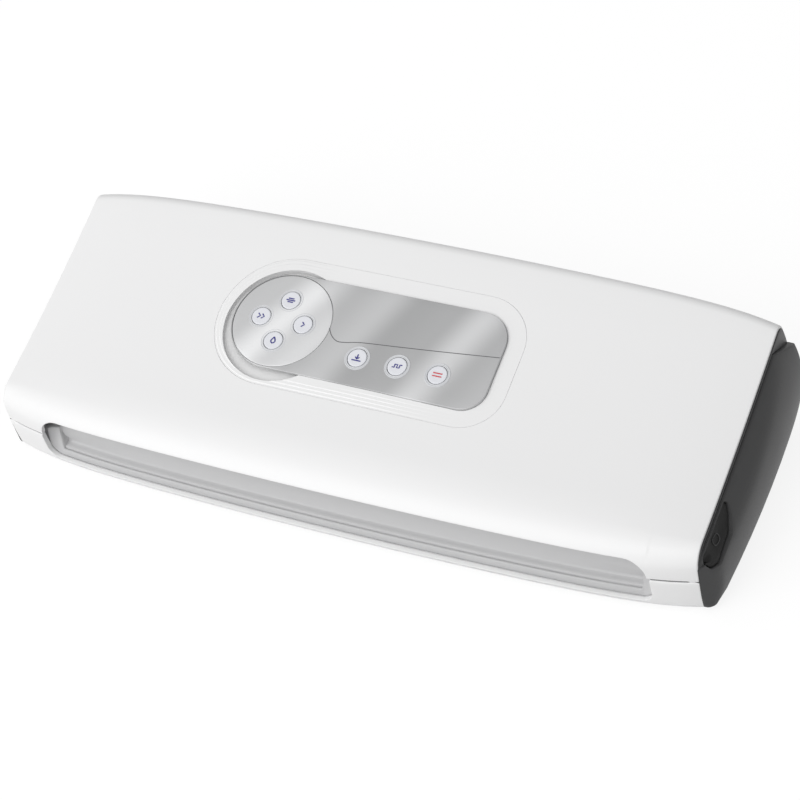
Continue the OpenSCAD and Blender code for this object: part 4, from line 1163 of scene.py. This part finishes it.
@dataclass
class Shells:
    """The white lid and tub, and the silver scoop between them."""

    lip_r: float = 0.7
    tub_rear_t: float = 0.6
    tub_rear_r: float = 0.28
    hole_gap: float = 0.12
    hole_top: float = 12.0
    hole_low: float = -14.0
    scoop_skin: float = 0.7
    slit_deep: float = 0.75
    pocket_end: float = 154.5
    pocket_steps: tuple[float, ...] = (-2.4, -1.2, -0.5, 0.0, 0.3, 0.6, 1.0, 1.6)
    tuck_steps: tuple[float, ...] = (1.0, 3.0)
    band_h: float = 4.6
    band_lean: float = 0.22
    shelf_rim: tuple[Point2, ...] = ((0.0, 0.0), (0.5, 1.6))
    shelf_floor: tuple[Point2, ...] = (
        (0.75, -0.9), (1.0, -0.25), (1.35, 0.0), (1.75, 0.02), (2.05, -0.45), (2.5, -0.5), (2.75, 0.25),
        (3.05, 0.6), (4.4, 0.85), (5.9, 1.1), (6.5, 1.5), (6.8, 2.4))
    shelf_back: tuple[Point2, ...] = ((-1.6, -6.0), (-0.7, -1.5), (-0.3, -0.5), (0.0, 0.0))
    band_rise: tuple[float, ...] = (0, 0.10, 0.20, 0.30, 0.38, 0.46, 0.54, 0.62, 0.70, 0.78, 0.85, 0.92, 0.97)
    band_top: tuple[float, ...] = (0, 0.3, 0.6, 0.85, 1)

    def build(self) -> list[bpy.types.Object]:
        """Build and dress the three shells.

        Returns:
            The pieces.
        """
        xs = FORM.stations(FORM.notch_w / 2 - FORM.notch_h, FORM.notch_h, FORM.notch_w / 2)
        lid = Maker.rings("lid_skin", [wall_ring(x, FORM.lid_at(x), FORM.wall, self.lip_r, self.lip_r,
                                                 FORM.wall) for x in xs])
        hole = Maker.pad("lid_hole", BEZEL.loop(BEZEL.outer, self.hole_gap), PLANE.put,
                         lambda a, b: self.hole_top, self.hole_low, edge=0.01)
        self._close(hole)
        Maker.cut(lid, hole)
        dress(lid, WHITE, "lid", "white_shell", "lid_shell")
        xs = FORM.stations(FORM.scoop_w / 2 - FORM.scoop_r, FORM.scoop_r, FORM.scoop_w / 2)
        xs = sorted([*xs, *(side * (FORM.scoop_w / 2 + 0.06) for side in (-1, 1))])
        tub = Maker.rings("tub_skin", [wall_ring(x, FORM.tub_line(FORM.tub_lip(x)), FORM.wall, self.lip_r,
                                                 self.tub_rear_r, self.tub_rear_t) for x in xs])
        dress(tub, WHITE, "base", "white_shell", "base_tub")
        inside_x = [x for x in xs if abs(x) <= FORM.scoop_w / 2 + 0.01]
        turns = [side * (self.pocket_end + d) for side in (-1, 1) for d in self.pocket_steps]
        tucked = [side * (FORM.scoop_w / 2 + d) for side in (-1, 1) for d in self.tuck_steps]
        scoop_x = sorted([*inside_x, *turns, *tucked])
        scoop = Maker.rings("scoop_skin", [self._scoop_ring(x) for x in scoop_x], sharp=50.0)
        dress(scoop, SCOOP, "base", "grey_scoop", "front_scoop")
        return [lid, tub, scoop, *(self._slit_shade(side, name) for side, name in ((-1, "left"), (1, "right")))]

    def _slit_shade(self, side: int, name: str) -> bpy.types.Object:
        """Back one end of the front seam with a dark grey strip, painted shade inside the seam, so the slit
        reads as a dark line.

        Args:
            side: -1 for the left end, 1 for the right.
            name: Name of the end.

        Returns:
            The lip.
        """
        first, last = FORM.scoop_w / 2 + 0.3, FORM.half_w - FORM.tip_len - 0.2
        back = FORM.low_wall(FORM.part_z, FORM.part_z, 1)[0][0] + self.slit_deep
        rings = []
        for i in range(9):
            x = side * (first + (last - first) * i / 8)
            rings.append([FORM.place(x, (back + du, FORM.part_z + dz)) for du, dz in
                          ((0, -1.1), (0, 1.1), (0.5, 1.1), (0.5, -1.1))])
        return dress(Maker.rings(f"slit_shade_back_{name}", rings), SLIT_PAINTED_SHADE, "base", "white_shell")

    @staticmethod
    def _close(obj: bpy.types.Object) -> None:
        """Fill the open underside of a cutter."""
        bm = bmesh.new()
        bm.from_mesh(obj.data)
        bmesh.ops.holes_fill(bm, edges=[e for e in bm.edges if e.is_boundary])
        bmesh.ops.recalc_face_normals(bm, faces=bm.faces)
        bm.to_mesh(obj.data)
        bm.free()

    def _scoop_ring(self, x: float) -> list[Point3]:
        """Return the scoop's section at x: a band round its rim, then a shelf and a back wall."""
        lip = min(FORM.tub_lip(x), FORM.rim_z + FORM.scoop_r)
        edge = FORM.low_wall(lip, lip, 1)[0]
        y0, z0 = FORM.y_at(x, edge[0] + FORM.wall + 0.15), lip
        back, top = -FORM.depth / 2 + FORM.scoop_depth, FORM.deck_z
        floor_y, floor_z = FORM.y_at(x, FORM.wall + 1.4), FORM.rim_z + self.band_h
        anchors = ((self.shelf_rim, y0, z0), (self.shelf_floor, floor_y, floor_z),
                   (self.shelf_back, back, top))
        shelf = [(y + dy, z + dz) for points, y, z in anchors for dy, dz in points]
        rise = top - z0
        panel = [(y0 + self.band_lean * rise * f, z0 + rise * f) for f in self.band_rise]
        start_y = panel[-1][0] + 0.4
        panel += [(start_y + (back - start_y) * f, top - 0.06 * (1 - f)) for f in self.band_top]
        w = smooth(self.pocket_end - 0.1, self.pocket_end + 1.1, abs(x))
        line = [(a[0] + (b[0] - a[0]) * w, a[1] + (b[1] - a[1]) * w) for a, b in zip(shelf, panel)]
        out = [(x, y, z) for y, z in line]
        return out + [(x, y + self.scoop_skin * 0.9, z - self.scoop_skin) for _x, y, z in reversed(out)]


@dataclass(frozen=True)
class BezelForm:
    """Outline of the control plate, and of the terraced bezel round it."""

    top: float = 34.4
    low: float = -18.3
    right: float = 62.0
    corner_low: float = 12.0
    corner_top: float = 16.0
    disc: Point2 = (-52.5, 8.0)
    outer: float = 9.0

    @property
    def end_r(self) -> float:
        """Radius of the plate's round end."""
        return (self.top - self.low) / 2

    @property
    def end_c(self) -> Point2:
        """Centre of the plate's round end."""
        return self.disc[0], (self.top + self.low) / 2

    def loop(self, grow: float, gap: float = 0.0, n: int = 16) -> list[Point2]:
        """Return the plate's outline grown by a distance.

        Args:
            grow: Distance outward.
            gap: Further clearance.
            n: Steps per right-hand corner.

        Returns:
            The closed loop, in the same order of points for any distance.
        """
        g = grow + gap
        out: list[Point2] = []
        c0 = (self.right - self.corner_low, self.low + self.corner_low)
        c1 = (self.right - self.corner_top, self.top - self.corner_top)
        out += [polar(c0, self.corner_low + g, -90 + 90 * i / n) for i in range(n + 1)]
        out += [polar(c1, self.corner_top + g, 90 * i / n) for i in range(n + 1)]
        out += [(c1[0] + (self.end_c[0] - c1[0]) * i / 14, self.top + g) for i in range(1, 14)]
        out += [polar(self.end_c, self.end_r + g, 90 + 180 * i / (4 * n)) for i in range(4 * n + 1)]
        out += [(self.end_c[0] + (c0[0] - self.end_c[0]) * i / 14, self.low - g) for i in range(1, 14)]
        return out


BEZEL = BezelForm()


class KeyMark(Enum):
    """Printed mark of each key, as strokes in millimetres about the key's centre."""

    DRY = (((-2.4, 0.0), (2.4, 0.0)), ((-1.5, -1.0), (1.5, -1.0)), ((-1.5, 1.0), (1.5, 1.0)))
    MOIST = (((0.0, 1.9), (-0.75, 0.6), (-1.15, -0.3), (-0.8, -1.2), (0.0, -1.6), (0.8, -1.2), (1.15, -0.3),
              (0.75, 0.6), (0.0, 1.9)),)
    FAST = (((-1.9, 1.3), (-0.5, 0.0), (-1.9, -1.3)), ((0.2, 1.3), (1.6, 0.0), (0.2, -1.3)))
    SLOW = (((-0.7, 1.3), (0.7, 0.0), (-0.7, -1.3)),)
    VACUUM = (((-2.4, -1.5), (2.4, -1.5)), ((0.0, 1.9), (0.0, -0.6)), ((-1.1, 0.4), (0.0, -0.7), (1.1, 0.4)))
    PULSE = (((-2.5, -0.8), (-1.3, -0.8), (-1.3, 0.9), (0.0, 0.9), (0.0, -0.8), (1.3, -0.8), (1.3, 0.9),
              (2.5, 0.9)),)
    SEAL = (((-2.4, 0.8), (2.4, 0.8)), ((-2.4, -0.8), (2.4, -0.8)))


@dataclass(frozen=True)
class KeySpec:
    """One key: its CAD node, place in the panel's plane and printed mark."""

    node: str
    place: Point2
    mark: KeyMark
    ink: Finish = INK


@dataclass
class ControlPanel:
    """Bezel with terraces and a finger pocket, silver plate and disc, and the keys."""

    plate_t: float = 1.6
    key_r: float = 4.8
    key_gap: float = 0.3
    ring_w: float = 1.4
    cap_h: float = 0.4
    cap_t: float = 1.0
    stem_r: float = 2.0
    stem_low: float = -6.5
    cross: float = 11.5
    disc_r: float = 25.5
    pocket_r: float = 31.0
    terraces: tuple[float, ...] = (8.0, 6.1, 4.2, 2.3)
    terrace_h: float = 0.3
    row: tuple[Point2, ...] = ((-7.0, -3.3), (14.2, -3.3), (35.3, -3.3))
    groove: tuple[Point2, ...] = ((-27.2, 9.4), (-24.5, 5.6), (-20.5, 3.2), (-15.5, 3.6), (-8, 5.1),
                                  (12, 7.0), (36, 9.4), (61.7, 12.2))
    groove_w: float = 0.42
    mark_w: float = 0.62
    pieces: list[bpy.types.Object] = field(default_factory=list)

    @property
    def keys(self) -> list[KeySpec]:
        """The seven keys."""
        c = BEZEL.disc
        return [
            KeySpec("key_dry", (c[0], c[1] + self.cross), KeyMark.DRY),
            KeySpec("key_moist", (c[0], c[1] - self.cross), KeyMark.MOIST),
            KeySpec("key_fast", (c[0] - self.cross, c[1]), KeyMark.FAST),
            KeySpec("key_slow", (c[0] + self.cross, c[1]), KeyMark.SLOW),
            KeySpec("key_vacuum", self.row[0], KeyMark.VACUUM),
            KeySpec("key_pulse", self.row[1], KeyMark.PULSE),
            KeySpec("key_seal", self.row[2], KeyMark.SEAL, INK_RED),
        ]

    def build(self) -> list[bpy.types.Object]:
        """Build and dress the whole panel.

        Returns:
            The pieces.
        """
        self._bezel()
        self._plate()
        self._disc()
        for spec in self.keys:
            self._key(spec)
        return self.pieces

    def _terrace(self, x: float, d: float, e: float) -> float:
        """Return how far the bezel is raised at offset e from the plate."""
        left = 1 - (smooth(-70, -30, x) if d > 9 else smooth(-25, 60, x))
        steps = sum(1 - smooth(t - 0.18, t + 0.18, e) for t in self.terraces)
        return left * self.terrace_h * steps

    def _bezel(self) -> None:
        """Build the bezel from rings at rising offsets, then cut the finger pocket."""
        stops = [9.0, 8.6]
        for t in self.terraces:
            stops += [t + 0.3, t + 0.18, t + 0.08, t, t - 0.08, t - 0.18, t - 0.3, t - 0.9]
        stops += [0.7, 0.35, 0.15]
        rings = []
        loops = [BEZEL.loop(0, e) for e in stops]
        rings.append([PLANE.put(*p, -5.0) for p in loops[0]])
        for e, loop in zip(stops, loops):
            ring = []
            for p in loop:
                flush = PLANE.lid_height(*p)
                ring.append(PLANE.put(*p, min(flush + self._terrace(*p, e), -0.35)))
            rings.append(ring)
        rings.append([PLANE.put(*p, -self.plate_t - 0.1) for p in loops[-1]])
        n = len(loops[0])
        points = [p for r in rings for p in r]
        faces = [(i * n + j, i * n + (j + 1) % n, (i + 1) * n + (j + 1) % n, (i + 1) * n + j)
                 for i in range(len(rings) - 1) for j in range(n)]
        faces.append(tuple(range((len(rings) - 1) * n, len(rings) * n)))
        faces.append(tuple(range(n)))
        bezel = Maker.mesh("bezel_skin", points, faces)
        c = (BEZEL.disc[0] + 1, BEZEL.disc[1] - 2)
        r = self.pocket_r
        hollow = [(0, -3.6), (r - 1.0, -3.6), (r - 0.3, -3.3), (r, -2.6), (r, 3.0), (0, 3.0)]
        cutter = Maker.revolve("pocket", hollow, c, PLANE.put, 160)
        # The cutter carries the painted-shade grey for the faces it cuts in the finger pocket.
        cutter.data.materials.append(POCKET_PAINTED_SHADE.build())
        bezel.data.materials.append(WHITE.build())
        Maker.cut(bezel, cutter)
        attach(bezel, "lid")
        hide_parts("panel_bezel")
        self.pieces.append(bezel)

    def _plate(self) -> None:
        """Build the silver plate, its raised key rings, and its dividing groove as a flat dark ribbon of
        painted shade.
        """
        holes = [circle(BEZEL.disc, self.disc_r + 0.25, 120)]
        holes += [circle(p, self.key_r + self.key_gap, 48) for p in self.row]
        plate = Maker.pad("plate_skin", BEZEL.loop(0), PLANE.put, lambda a, b: 0.0, -self.plate_t, edge=0.35,
                          holes=holes, pitch=6.0, hole_edge=0.12)
        dress(plate, PLATE_PAINTED_SHEEN, "lid", "silver_panel", "control_panel")
        self.pieces.append(plate)
        self.pieces.append(self._rings("plate_key_rings", [k.place for k in self.keys[4:]]))
        # The groove is not cut: a flat dark ribbon on the plate is painted shade in its place.
        line = Maker.ribbon("plate_groove_painted_shade", [spline(self.groove, 10)], self.groove_w, PLANE.put, 0.03)
        dress(line, GROOVE_PAINTED_SHADE, "lid", "silver_panel")
        self.pieces.append(line)

    def _rings(self, name: str, places: Sequence[Point2]) -> bpy.types.Object:
        """Build the raised rings round some keys."""
        r0, r1 = self.key_r + self.key_gap, self.key_r + self.key_gap + self.ring_w
        profile = [(r0, -0.2), (r0, 0.16), (r0 + 0.1, 0.24), (r0 + 0.35, 0.26), (r0 + 0.55, 0.12),
                   (r0 + 0.75, 0.12), (r0 + 0.95, 0.26), (r1 - 0.2, 0.24), (r1, 0.02), (r1, -0.1)]
        parts = [Maker.revolve(f"{name}_{i}", profile, p, PLANE.put, 64) for i, p in enumerate(places)]
        return dress(Maker.join(name, *parts), KEY_RING, "lid", "silver_panel")

    def _disc(self) -> None:
        """Build the round key disc."""
        holes = [circle(k.place, self.key_r + self.key_gap, 48) for k in self.keys[:4]]
        disc = Maker.pad("disc_skin", circle(BEZEL.disc, self.disc_r, 144), PLANE.put,
                         lambda a, b: 0.25 * (1 - ((a - BEZEL.disc[0]) ** 2 + (b - BEZEL.disc[1]) ** 2)
                                              / self.disc_r ** 2),
                         -self.plate_t, edge=0.4, holes=holes, pitch=3.0, hole_edge=0.12)
        dress(disc, DISC_PAINTED_SHEEN, "lid", "silver_panel", "key_disc")
        self.pieces.append(disc)
        self.pieces.append(self._rings("disc_key_rings", [k.place for k in self.keys[:4]]))

    def _key(self, spec: KeySpec) -> None:
        """Build one key's cap with its printed mark."""
        top, low = self.cap_h, self.cap_h - self.cap_t
        r = self.key_r
        profile = [(0, top - 0.14), (r * 0.55, top - 0.10), (r - 0.7, top), (r - 0.3, top - 0.02),
                   (r - 0.08, top - 0.12), (r, top - 0.34), (r, low), (self.stem_r, low),
                   (self.stem_r, self.stem_low), (0, self.stem_low)]
        cap = Maker.revolve(f"{spec.node}_cap", profile, spec.place, PLANE.put, 48)
        dress(cap, KEY, spec.node, "pale_keys", spec.node)
        lines = [[(spec.place[0] + p[0], spec.place[1] + p[1]) for p in line] for line in spec.mark.value]
        mark = Maker.ribbon(f"{spec.node}_mark", lines, self.mark_w, PLANE.put, top + 0.015)
        dress(mark, spec.ink, spec.node, "pale_keys")
        self.pieces += [cap, mark]


@dataclass
class EndTrim:
    """End caps, the lid's dark strips, and the release buttons in their wells."""

    cap_out: float = 8.0
    strip_h: float = 2.6
    strip_t: float = 0.6
    seam: float = 0.5
    plan_r: float = 900.0
    section_r: float = 110.0
    lean: float = 6.0
    mid_z: float = 26.0
    top_lean: float = 0.42
    front_lean: float = 0.62
    strip_inset: float = 1.0
    blend: float = 0.5
    button_x: float = 187.2
    sunk: float = 0.9
    stem_c: Point2 = (-45.0, 33.0)
    stem_x: tuple[float, float] = (177.3, 183.5)
    stem_r: float = 3.0
    leaf: tuple[Point2, ...] = ((-57, 33.5), (-56.8, 37.5), (-53, 40), (-30.5, 44.2), (-27.8, 43.2),
                                (-31, 37.5), (-36, 31.5), (-50, 28.0), (-55, 29.5))
    well_grow: float = 0.7
    leaf_grow: float = 0.45
    cap_low: float = 180.0
    well_low: float = 181.0
    dimple_spread: Point2 = (110.0, 26.0)
    mark_half: Point2 = (2.6, 2.0)
    mark_r: float = 0.3
    pieces: list[bpy.types.Object] = field(default_factory=list)

    @property
    def seam_u(self) -> float:
        """Where the lid's strip widens at the back."""
        return FORM.side_len - 22

    @property
    def seam_line(self) -> tuple[Point2, Point2]:
        """Both ends of the seam under the strip's widened end."""
        a = (self.seam_u, FORM.top_z(self.seam_u) - self.strip_h / math.cos(FORM.top_slope(self.seam_u)))
        at = math.radians(FORM.rear_angle(FORM.lid_rear_z))
        b = (FORM.rear_c[0] + FORM.wall_r * math.cos(at), FORM.lid_rear_z)
        return a, b

    def bulge(self, y: float, z: float) -> float:
        """Return how far the cap's face stands out at (y, z)."""
        c, s = math.cos(math.radians(self.lean)), math.sin(math.radians(self.lean))
        yy, zz = y * c + (z - self.mid_z) * s, -y * s + (z - self.mid_z) * c
        ring = self.plan_r - self.section_r + math.sqrt(self.section_r ** 2 - zz * zz)
        face = FORM.half_w + self.cap_out - self.plan_r + math.sqrt(ring * ring - yy * yy)
        u = y - FORM.end_y
        drop = (FORM.top_z(max(u, FORM.top_start[0])) - z) * math.cos(FORM.top_slope(u))
        from_round = math.hypot(u - FORM.shoulder_c[0], z - FORM.shoulder_c[1])
        if u < FORM.top_start[0] and z > FORM.shoulder_z:
            drop = min(drop, FORM.shoulder_r - from_round)
        low = [face, FORM.half_w + self.top_lean * drop, FORM.half_w + self.front_lean * max(0.0, u)]
        return -self.blend * math.log(sum(math.exp(-v / self.blend) for v in low))

    def cap_outline(self) -> list[Point2]:
        """Return the cap's outline as (y, z)."""
        f = FORM
        foot = f.foot_c
        heel = polar(f.rear_c, f.wall_r - f.rear_corner, -f.rear_foot)
        drop = self.strip_h + self.seam
        pts = [p[:2] for p in arc(foot, f.front_corner, 270, 180 + f.front_foot, 8)]
        pts += [p[:2] for p in f.low_wall(f.foot_z, f.bulge_z, 12)[1:]]
        pts += [p[:2] for p in arc(f.front_c, f.wall_r, 180, f.front_angle(f.shoulder_z), 3)[1:]]
        shoulder = arc(f.shoulder_c, f.shoulder_r, f.front_angle(f.shoulder_z), 90 + f.slope_front, 14)
        for i, p in enumerate(shoulder[1:], 1):
            d = drop * min(1.0, (i / 2 + 0.6) / 6)
            pts.append((p[0] - d * p[2], p[1] - d * p[3]))
        a, b = self.seam_line
        pts += [(p[0] - drop * p[2], p[1] - drop * p[3])
                for p in f.top_line(40)[1:] if p[0] < self.seam_u - 1.5]
        pts.append((a[0], a[1] - self.seam))
        pts += [(a[0] + (b[0] - a[0]) * t, a[1] - self.seam + (b[1] - a[1]) * t)
                for t in (0.2, 0.4, 0.6, 0.8)]
        back = f.rear_angle(f.lid_rear_z - self.seam)
        pts += [p[:2] for p in arc(f.rear_c, f.wall_r, back, -f.rear_foot, 16)]
        pts += [p[:2] for p in arc(heel, f.rear_corner, -f.rear_foot, -90, 10)[1:]]
        pts += [(heel[0] + (foot[0] - heel[0]) * t, f.foot_h) for t in (0.15, 0.3, 0.45, 0.6, 0.75, 0.9)]
        return [(f.end_y + u, z) for u, z in pts]

    def strip_outline(self) -> list[Point2]:
        """Return the lid strip's outline as (y, z)."""
        f = FORM
        line = [*arc(f.shoulder_c, f.shoulder_r, f.front_angle(f.shoulder_z), 90 + f.slope_front, 14)[2:],
                *f.top_line(40)[1:], *arc(f.roll_c, f.roll_r, 90 + f.slope_rear, f.roll_end, 10)[1:],
                *arc(f.rear_c, f.wall_r, f.roll_end, f.rear_angle(f.lid_rear_z), 6)[1:]]
        under = [(p[0] - d * p[2], p[1] - d * p[3]) for i, p in enumerate(line) if p[0] < self.seam_u - 1
                 for d in [self.strip_inset + (self.strip_h - self.strip_inset) * min(1.0, (i + 2) / 12)]]
        over = [(p[0] - self.strip_inset * p[2], p[1] - self.strip_inset * p[3]) for p in line]
        pts = [*over, self.seam_line[0], *under[::-1]]
        return [(f.end_y + u, z) for u, z in pts]

    def build(self) -> list[bpy.types.Object]:
        """Build and dress both ends.

        Returns:
            The pieces.
        """
        for side, name in ((-1, "left"), (1, "right")):
            self._end(side, name)
        return self.pieces

    def _end(self, side: int, name: str) -> None:
        """Build one end.

        Args:
            side: -1 for the left end, 1 for the right.
            name: Name of the end.
        """
        def put(y: float, z: float, x: float) -> Point3:
            """Map a point of the end's plane and a distance outward to the frame."""
            return side * x, y, z

        well = rounded(inward(self.leaf, -self.well_grow), 2.5, 8)
        cap = Maker.pad(f"end_cap_skin_{name}", self.cap_outline(), put, self.bulge, self.cap_low, edge=0.9,
                        holes=[well], pitch=3.4, hole_edge=0.6, hole_low=self.well_low)
        dress(cap, DARK, "base", "dark_trim", f"end_cap_{name}")
        strip = Maker.pad(f"lid_strip_skin_{name}", self.strip_outline(), put,
                          lambda a, b: FORM.half_w + self.strip_t, FORM.half_w, edge=0.35, pitch=5.0)
        dress(strip, STRIP, "lid", "dark_trim", f"lid_strip_{name}")
        leaf = rounded(inward(self.leaf, -self.leaf_grow), 2.4, 8)
        mid = (sum(p[0] for p in leaf) / len(leaf), sum(p[1] for p in leaf) / len(leaf))
        wide, high = self.dimple_spread

        def level(y: float, z: float) -> float:
            """Return the button's face before it is dimpled."""
            return min(self.button_x + 0.9, self.bulge(y, z) - self.sunk)

        def dimpled(y: float, z: float) -> float:
            """Return the button's face with the fingertip's dimple."""
            return level(y, z) - math.exp(-((y - mid[0]) ** 2 / wide + (z - mid[1]) ** 2 / high))

        face = Maker.pad(f"release_face_{name}", leaf, put, dimpled, self.button_x - 5.5, edge=0.7, pitch=1.2)
        dress(face, BLACK, f"release_{name}", "black_plastic", f"release_{name}")
        rod = [put(*self.stem_c, x) for x in self.stem_x]
        stem = Maker.tube(f"release_stem_{name}", rod, self.stem_r, 24)
        dress(stem, BLACK, f"release_{name}", "black_plastic")
        half_y, half_z = self.mark_half
        loop = rounded([(mid[0] + sy * half_y, mid[1] + sz * half_z)
                        for sy, sz in ((-1, -1), (1, -1), (1, 1), (-1, 1))], 1.6, 6)
        path = [put(p[0], p[1], level(*p) - 0.8) for p in loop + loop[:2]]
        ring = Maker.tube(f"release_mark_{name}", path, self.mark_r, 8)
        dress(ring, DARK, f"release_{name}", "black_plastic")
        self.pieces += [cap, strip, face, stem, ring]


@dataclass
class Springs:
    """The two coil springs behind the release buttons."""

    x: tuple[float, float] = (170.3, 177.2)
    y: float = -45.0
    z: float = 33.0
    r: float = 2.6
    wire: float = 0.45
    turns: int = 5
    travel: float = 3.0

    def build(self) -> list[bpy.types.Object]:
        """Build the coils.

        Returns:
            The pieces.
        """
        out = []
        for side, name in ((-1, "left"), (1, "right")):
            n = self.turns * 20
            lo, hi = self.x[0] + self.wire, self.x[1] - self.wire
            path = []
            for i in range(n + 1):
                t = i / n
                a = 2 * math.pi * self.turns * t
                path.append((side * (lo + (hi - lo) * t), self.y + self.r * math.cos(a),
                             self.z + self.r * math.sin(a)))
            coil = Maker.tube(f"release_coil_{name}", path, self.wire, 8)
            dress(coil, SLOT_FINISH["steel"], "base", "steel", f"release_spring_{name}")
            self.z * MM
            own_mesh(coil)
            out.append(coil)
        return out


class CarriedNodes:
    """CAD nodes that keep their own shape and take a finish and eased edges."""

    def build(self) -> int:
        """Dress every CAD node that is still shown.

        Returns:
            How many nodes were dressed.
        """
        slots = {s["node"]: s["material_slot"] for s in frame["record"]["subparts"]}
        count = 0
        for name, obj in frame["nodes"].items():
            if obj.hide_render:
                continue
            finish = SLOT_FINISH[slots[name]].build()
            obj.data.materials.clear()
            obj.data.materials.append(finish)
            weld = obj.modifiers.new("weld", "WELD")
            weld.merge_threshold = 1e-6
            bevel = obj.modifiers.new("ease", "BEVEL")
            bevel.width, bevel.segments = 0.00018, 2
            bevel.limit_method, bevel.angle_limit = "ANGLE", math.radians(40)
            count += 1
        return count


@dataclass
class Studio:
    """Pale floor, soft light and the camera."""

    azimuth: float = 35.14
    elevation: float = 46.11
    roll: float = -14.53
    lens: float = 114.42
    place: Point3 = (0.4978, -0.6967, 0.9146)
    sky: float = 0.455
    sky_slant: float = 0.40
    sky_from: Point3 = (-0.30, -0.75, 0.59)

    def build(self) -> None:
        """Add the floor, the world, the lamps and the camera."""
        scene = bpy.context.scene
        scene.view_settings.view_transform = "Standard"
        self._floor()
        self._world(scene)
        self._lamp("key", (-0.55, -1.25, 1.15), 1.3, 15.5)
        data = bpy.data.cameras.new("camera")
        data.lens, data.sensor_width = self.lens, 36.0
        cam = bpy.data.objects.new("camera", data)
        a, e, r = (math.radians(v) for v in (self.azimuth, self.elevation, self.roll))
        back = Vector((math.sin(a) * math.cos(e), -math.cos(a) * math.cos(e), math.sin(e)))
        right = Vector((math.cos(a), math.sin(a), 0))
        up = back.cross(right)
        right2 = right * math.cos(r) + up * math.sin(r)
        up2 = up * math.cos(r) - right * math.sin(r)
        rot = Matrix((right2, up2, back)).transposed().to_4x4()
        cam.matrix_world = Matrix.Translation(Vector(self.place)) @ rot
        scene.collection.objects.link(cam)
        scene.camera = cam

    @staticmethod
    def _seen(nd: bpy.types.Nodes, ln: bpy.types.NodeLinks) -> bpy.types.NodeSocket:
        """Return a mask of the rays that show the background itself.

        Args:
            nd: Nodes of the tree.
            ln: Links of the tree.

        Returns:
            A socket that is 1 for camera, glossy and transmission rays.
        """
        path = nd.new("ShaderNodeLightPath")
        out = path.outputs["Is Camera Ray"]
        for label in ("Is Glossy Ray", "Is Transmission Ray"):
            both = nd.new("ShaderNodeMath")
            both.operation = "MAXIMUM"
            ln.new(out, both.inputs[0])
            ln.new(path.outputs[label], both.inputs[1])
            out = both.outputs[0]
        return out

    def _floor(self) -> None:
        """Add a wide pale floor, white where it is seen and with the object's shadow on it."""
        bpy.ops.mesh.primitive_plane_add(size=6.0, location=(0, 0, 0))
        floor = bpy.context.object
        floor.name = "floor"
        mat = bpy.data.materials.new("floor_paper")
        mat.use_nodes = True
        nd, ln = mat.node_tree.nodes, mat.node_tree.links
        nd.remove(nd["Principled BSDF"])
        paper, lit, shade, white = (nd.new(f"ShaderNode{kind}") for kind in
                                    ("BsdfDiffuse", "AddShader", "BsdfDiffuse", "Emission"))
        paper.inputs["Color"].default_value = (0.62, 0.62, 0.62, 1)
        shade.inputs["Color"].default_value = (0.20, 0.20, 0.20, 1)
        white.inputs["Strength"].default_value = 0.84
        ln.new(shade.outputs[0], lit.inputs[0])
        ln.new(white.outputs[0], lit.inputs[1])
        mix = nd.new("ShaderNodeMixShader")
        ln.new(self._seen(nd, ln), mix.inputs[0])
        ln.new(paper.outputs[0], mix.inputs[1])
        ln.new(lit.outputs[0], mix.inputs[2])
        ln.new(mix.outputs[0], nd["Material Output"].inputs["Surface"])
        floor.data.materials.append(mat)

    def _world(self, scene: bpy.types.Scene) -> None:
        """Light the scene with a pale sky, white where it is seen directly."""
        world = bpy.data.worlds.new("studio")
        scene.world = world
        world.use_nodes = True
        nd, ln = world.node_tree.nodes, world.node_tree.links
        nd["Background"].inputs["Color"].default_value = (1, 1, 1, 1)
        level = nd.new("ShaderNodeMix")
        ln.new(self._seen(nd, ln), level.inputs[0])
        place = nd.new("ShaderNodeTexCoord")
        toward, slant = nd.new("ShaderNodeVectorMath"), nd.new("ShaderNodeMath")
        toward.operation = "DOT_PRODUCT"
        toward.inputs[1].default_value = self.sky_from
        slant.operation = "MULTIPLY_ADD"
        slant.inputs[1].default_value = self.sky_slant
        slant.inputs[2].default_value = self.sky
        ln.new(place.outputs["Generated"], toward.inputs[0])
        ln.new(toward.outputs["Value"], slant.inputs[0])
        ln.new(slant.outputs[0], level.inputs[2])
        level.inputs[3].default_value = 1.0
        ln.new(level.outputs[0], nd["Background"].inputs["Strength"])

    @staticmethod
    def _lamp(name: str, place: Point3, size: float, power: float) -> None:
        """Add a square area lamp aimed at the object."""
        data = bpy.data.lights.new(name, "AREA")
        data.size, data.energy = size, power
        lamp = bpy.data.objects.new(name, data)
        lamp.location = place
        lamp.rotation_euler = (Vector((0, 0, 0.03)) - Vector(place)).to_track_quat("-Z", "Y").to_euler()
        bpy.context.scene.collection.objects.link(lamp)


def main() -> None:
    logging.basicConfig(level=logging.INFO, format="%(message)s")
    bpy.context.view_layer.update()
    for part in (Shells(), ControlPanel(), EndTrim(), Springs()):
        for obj in part.build():
            log.info("%s: %s", type(part).__name__, obj.name)
    log.info("carried nodes: %d", CarriedNodes().build())
    Studio().build()


if __name__ == "__main__":
    main()
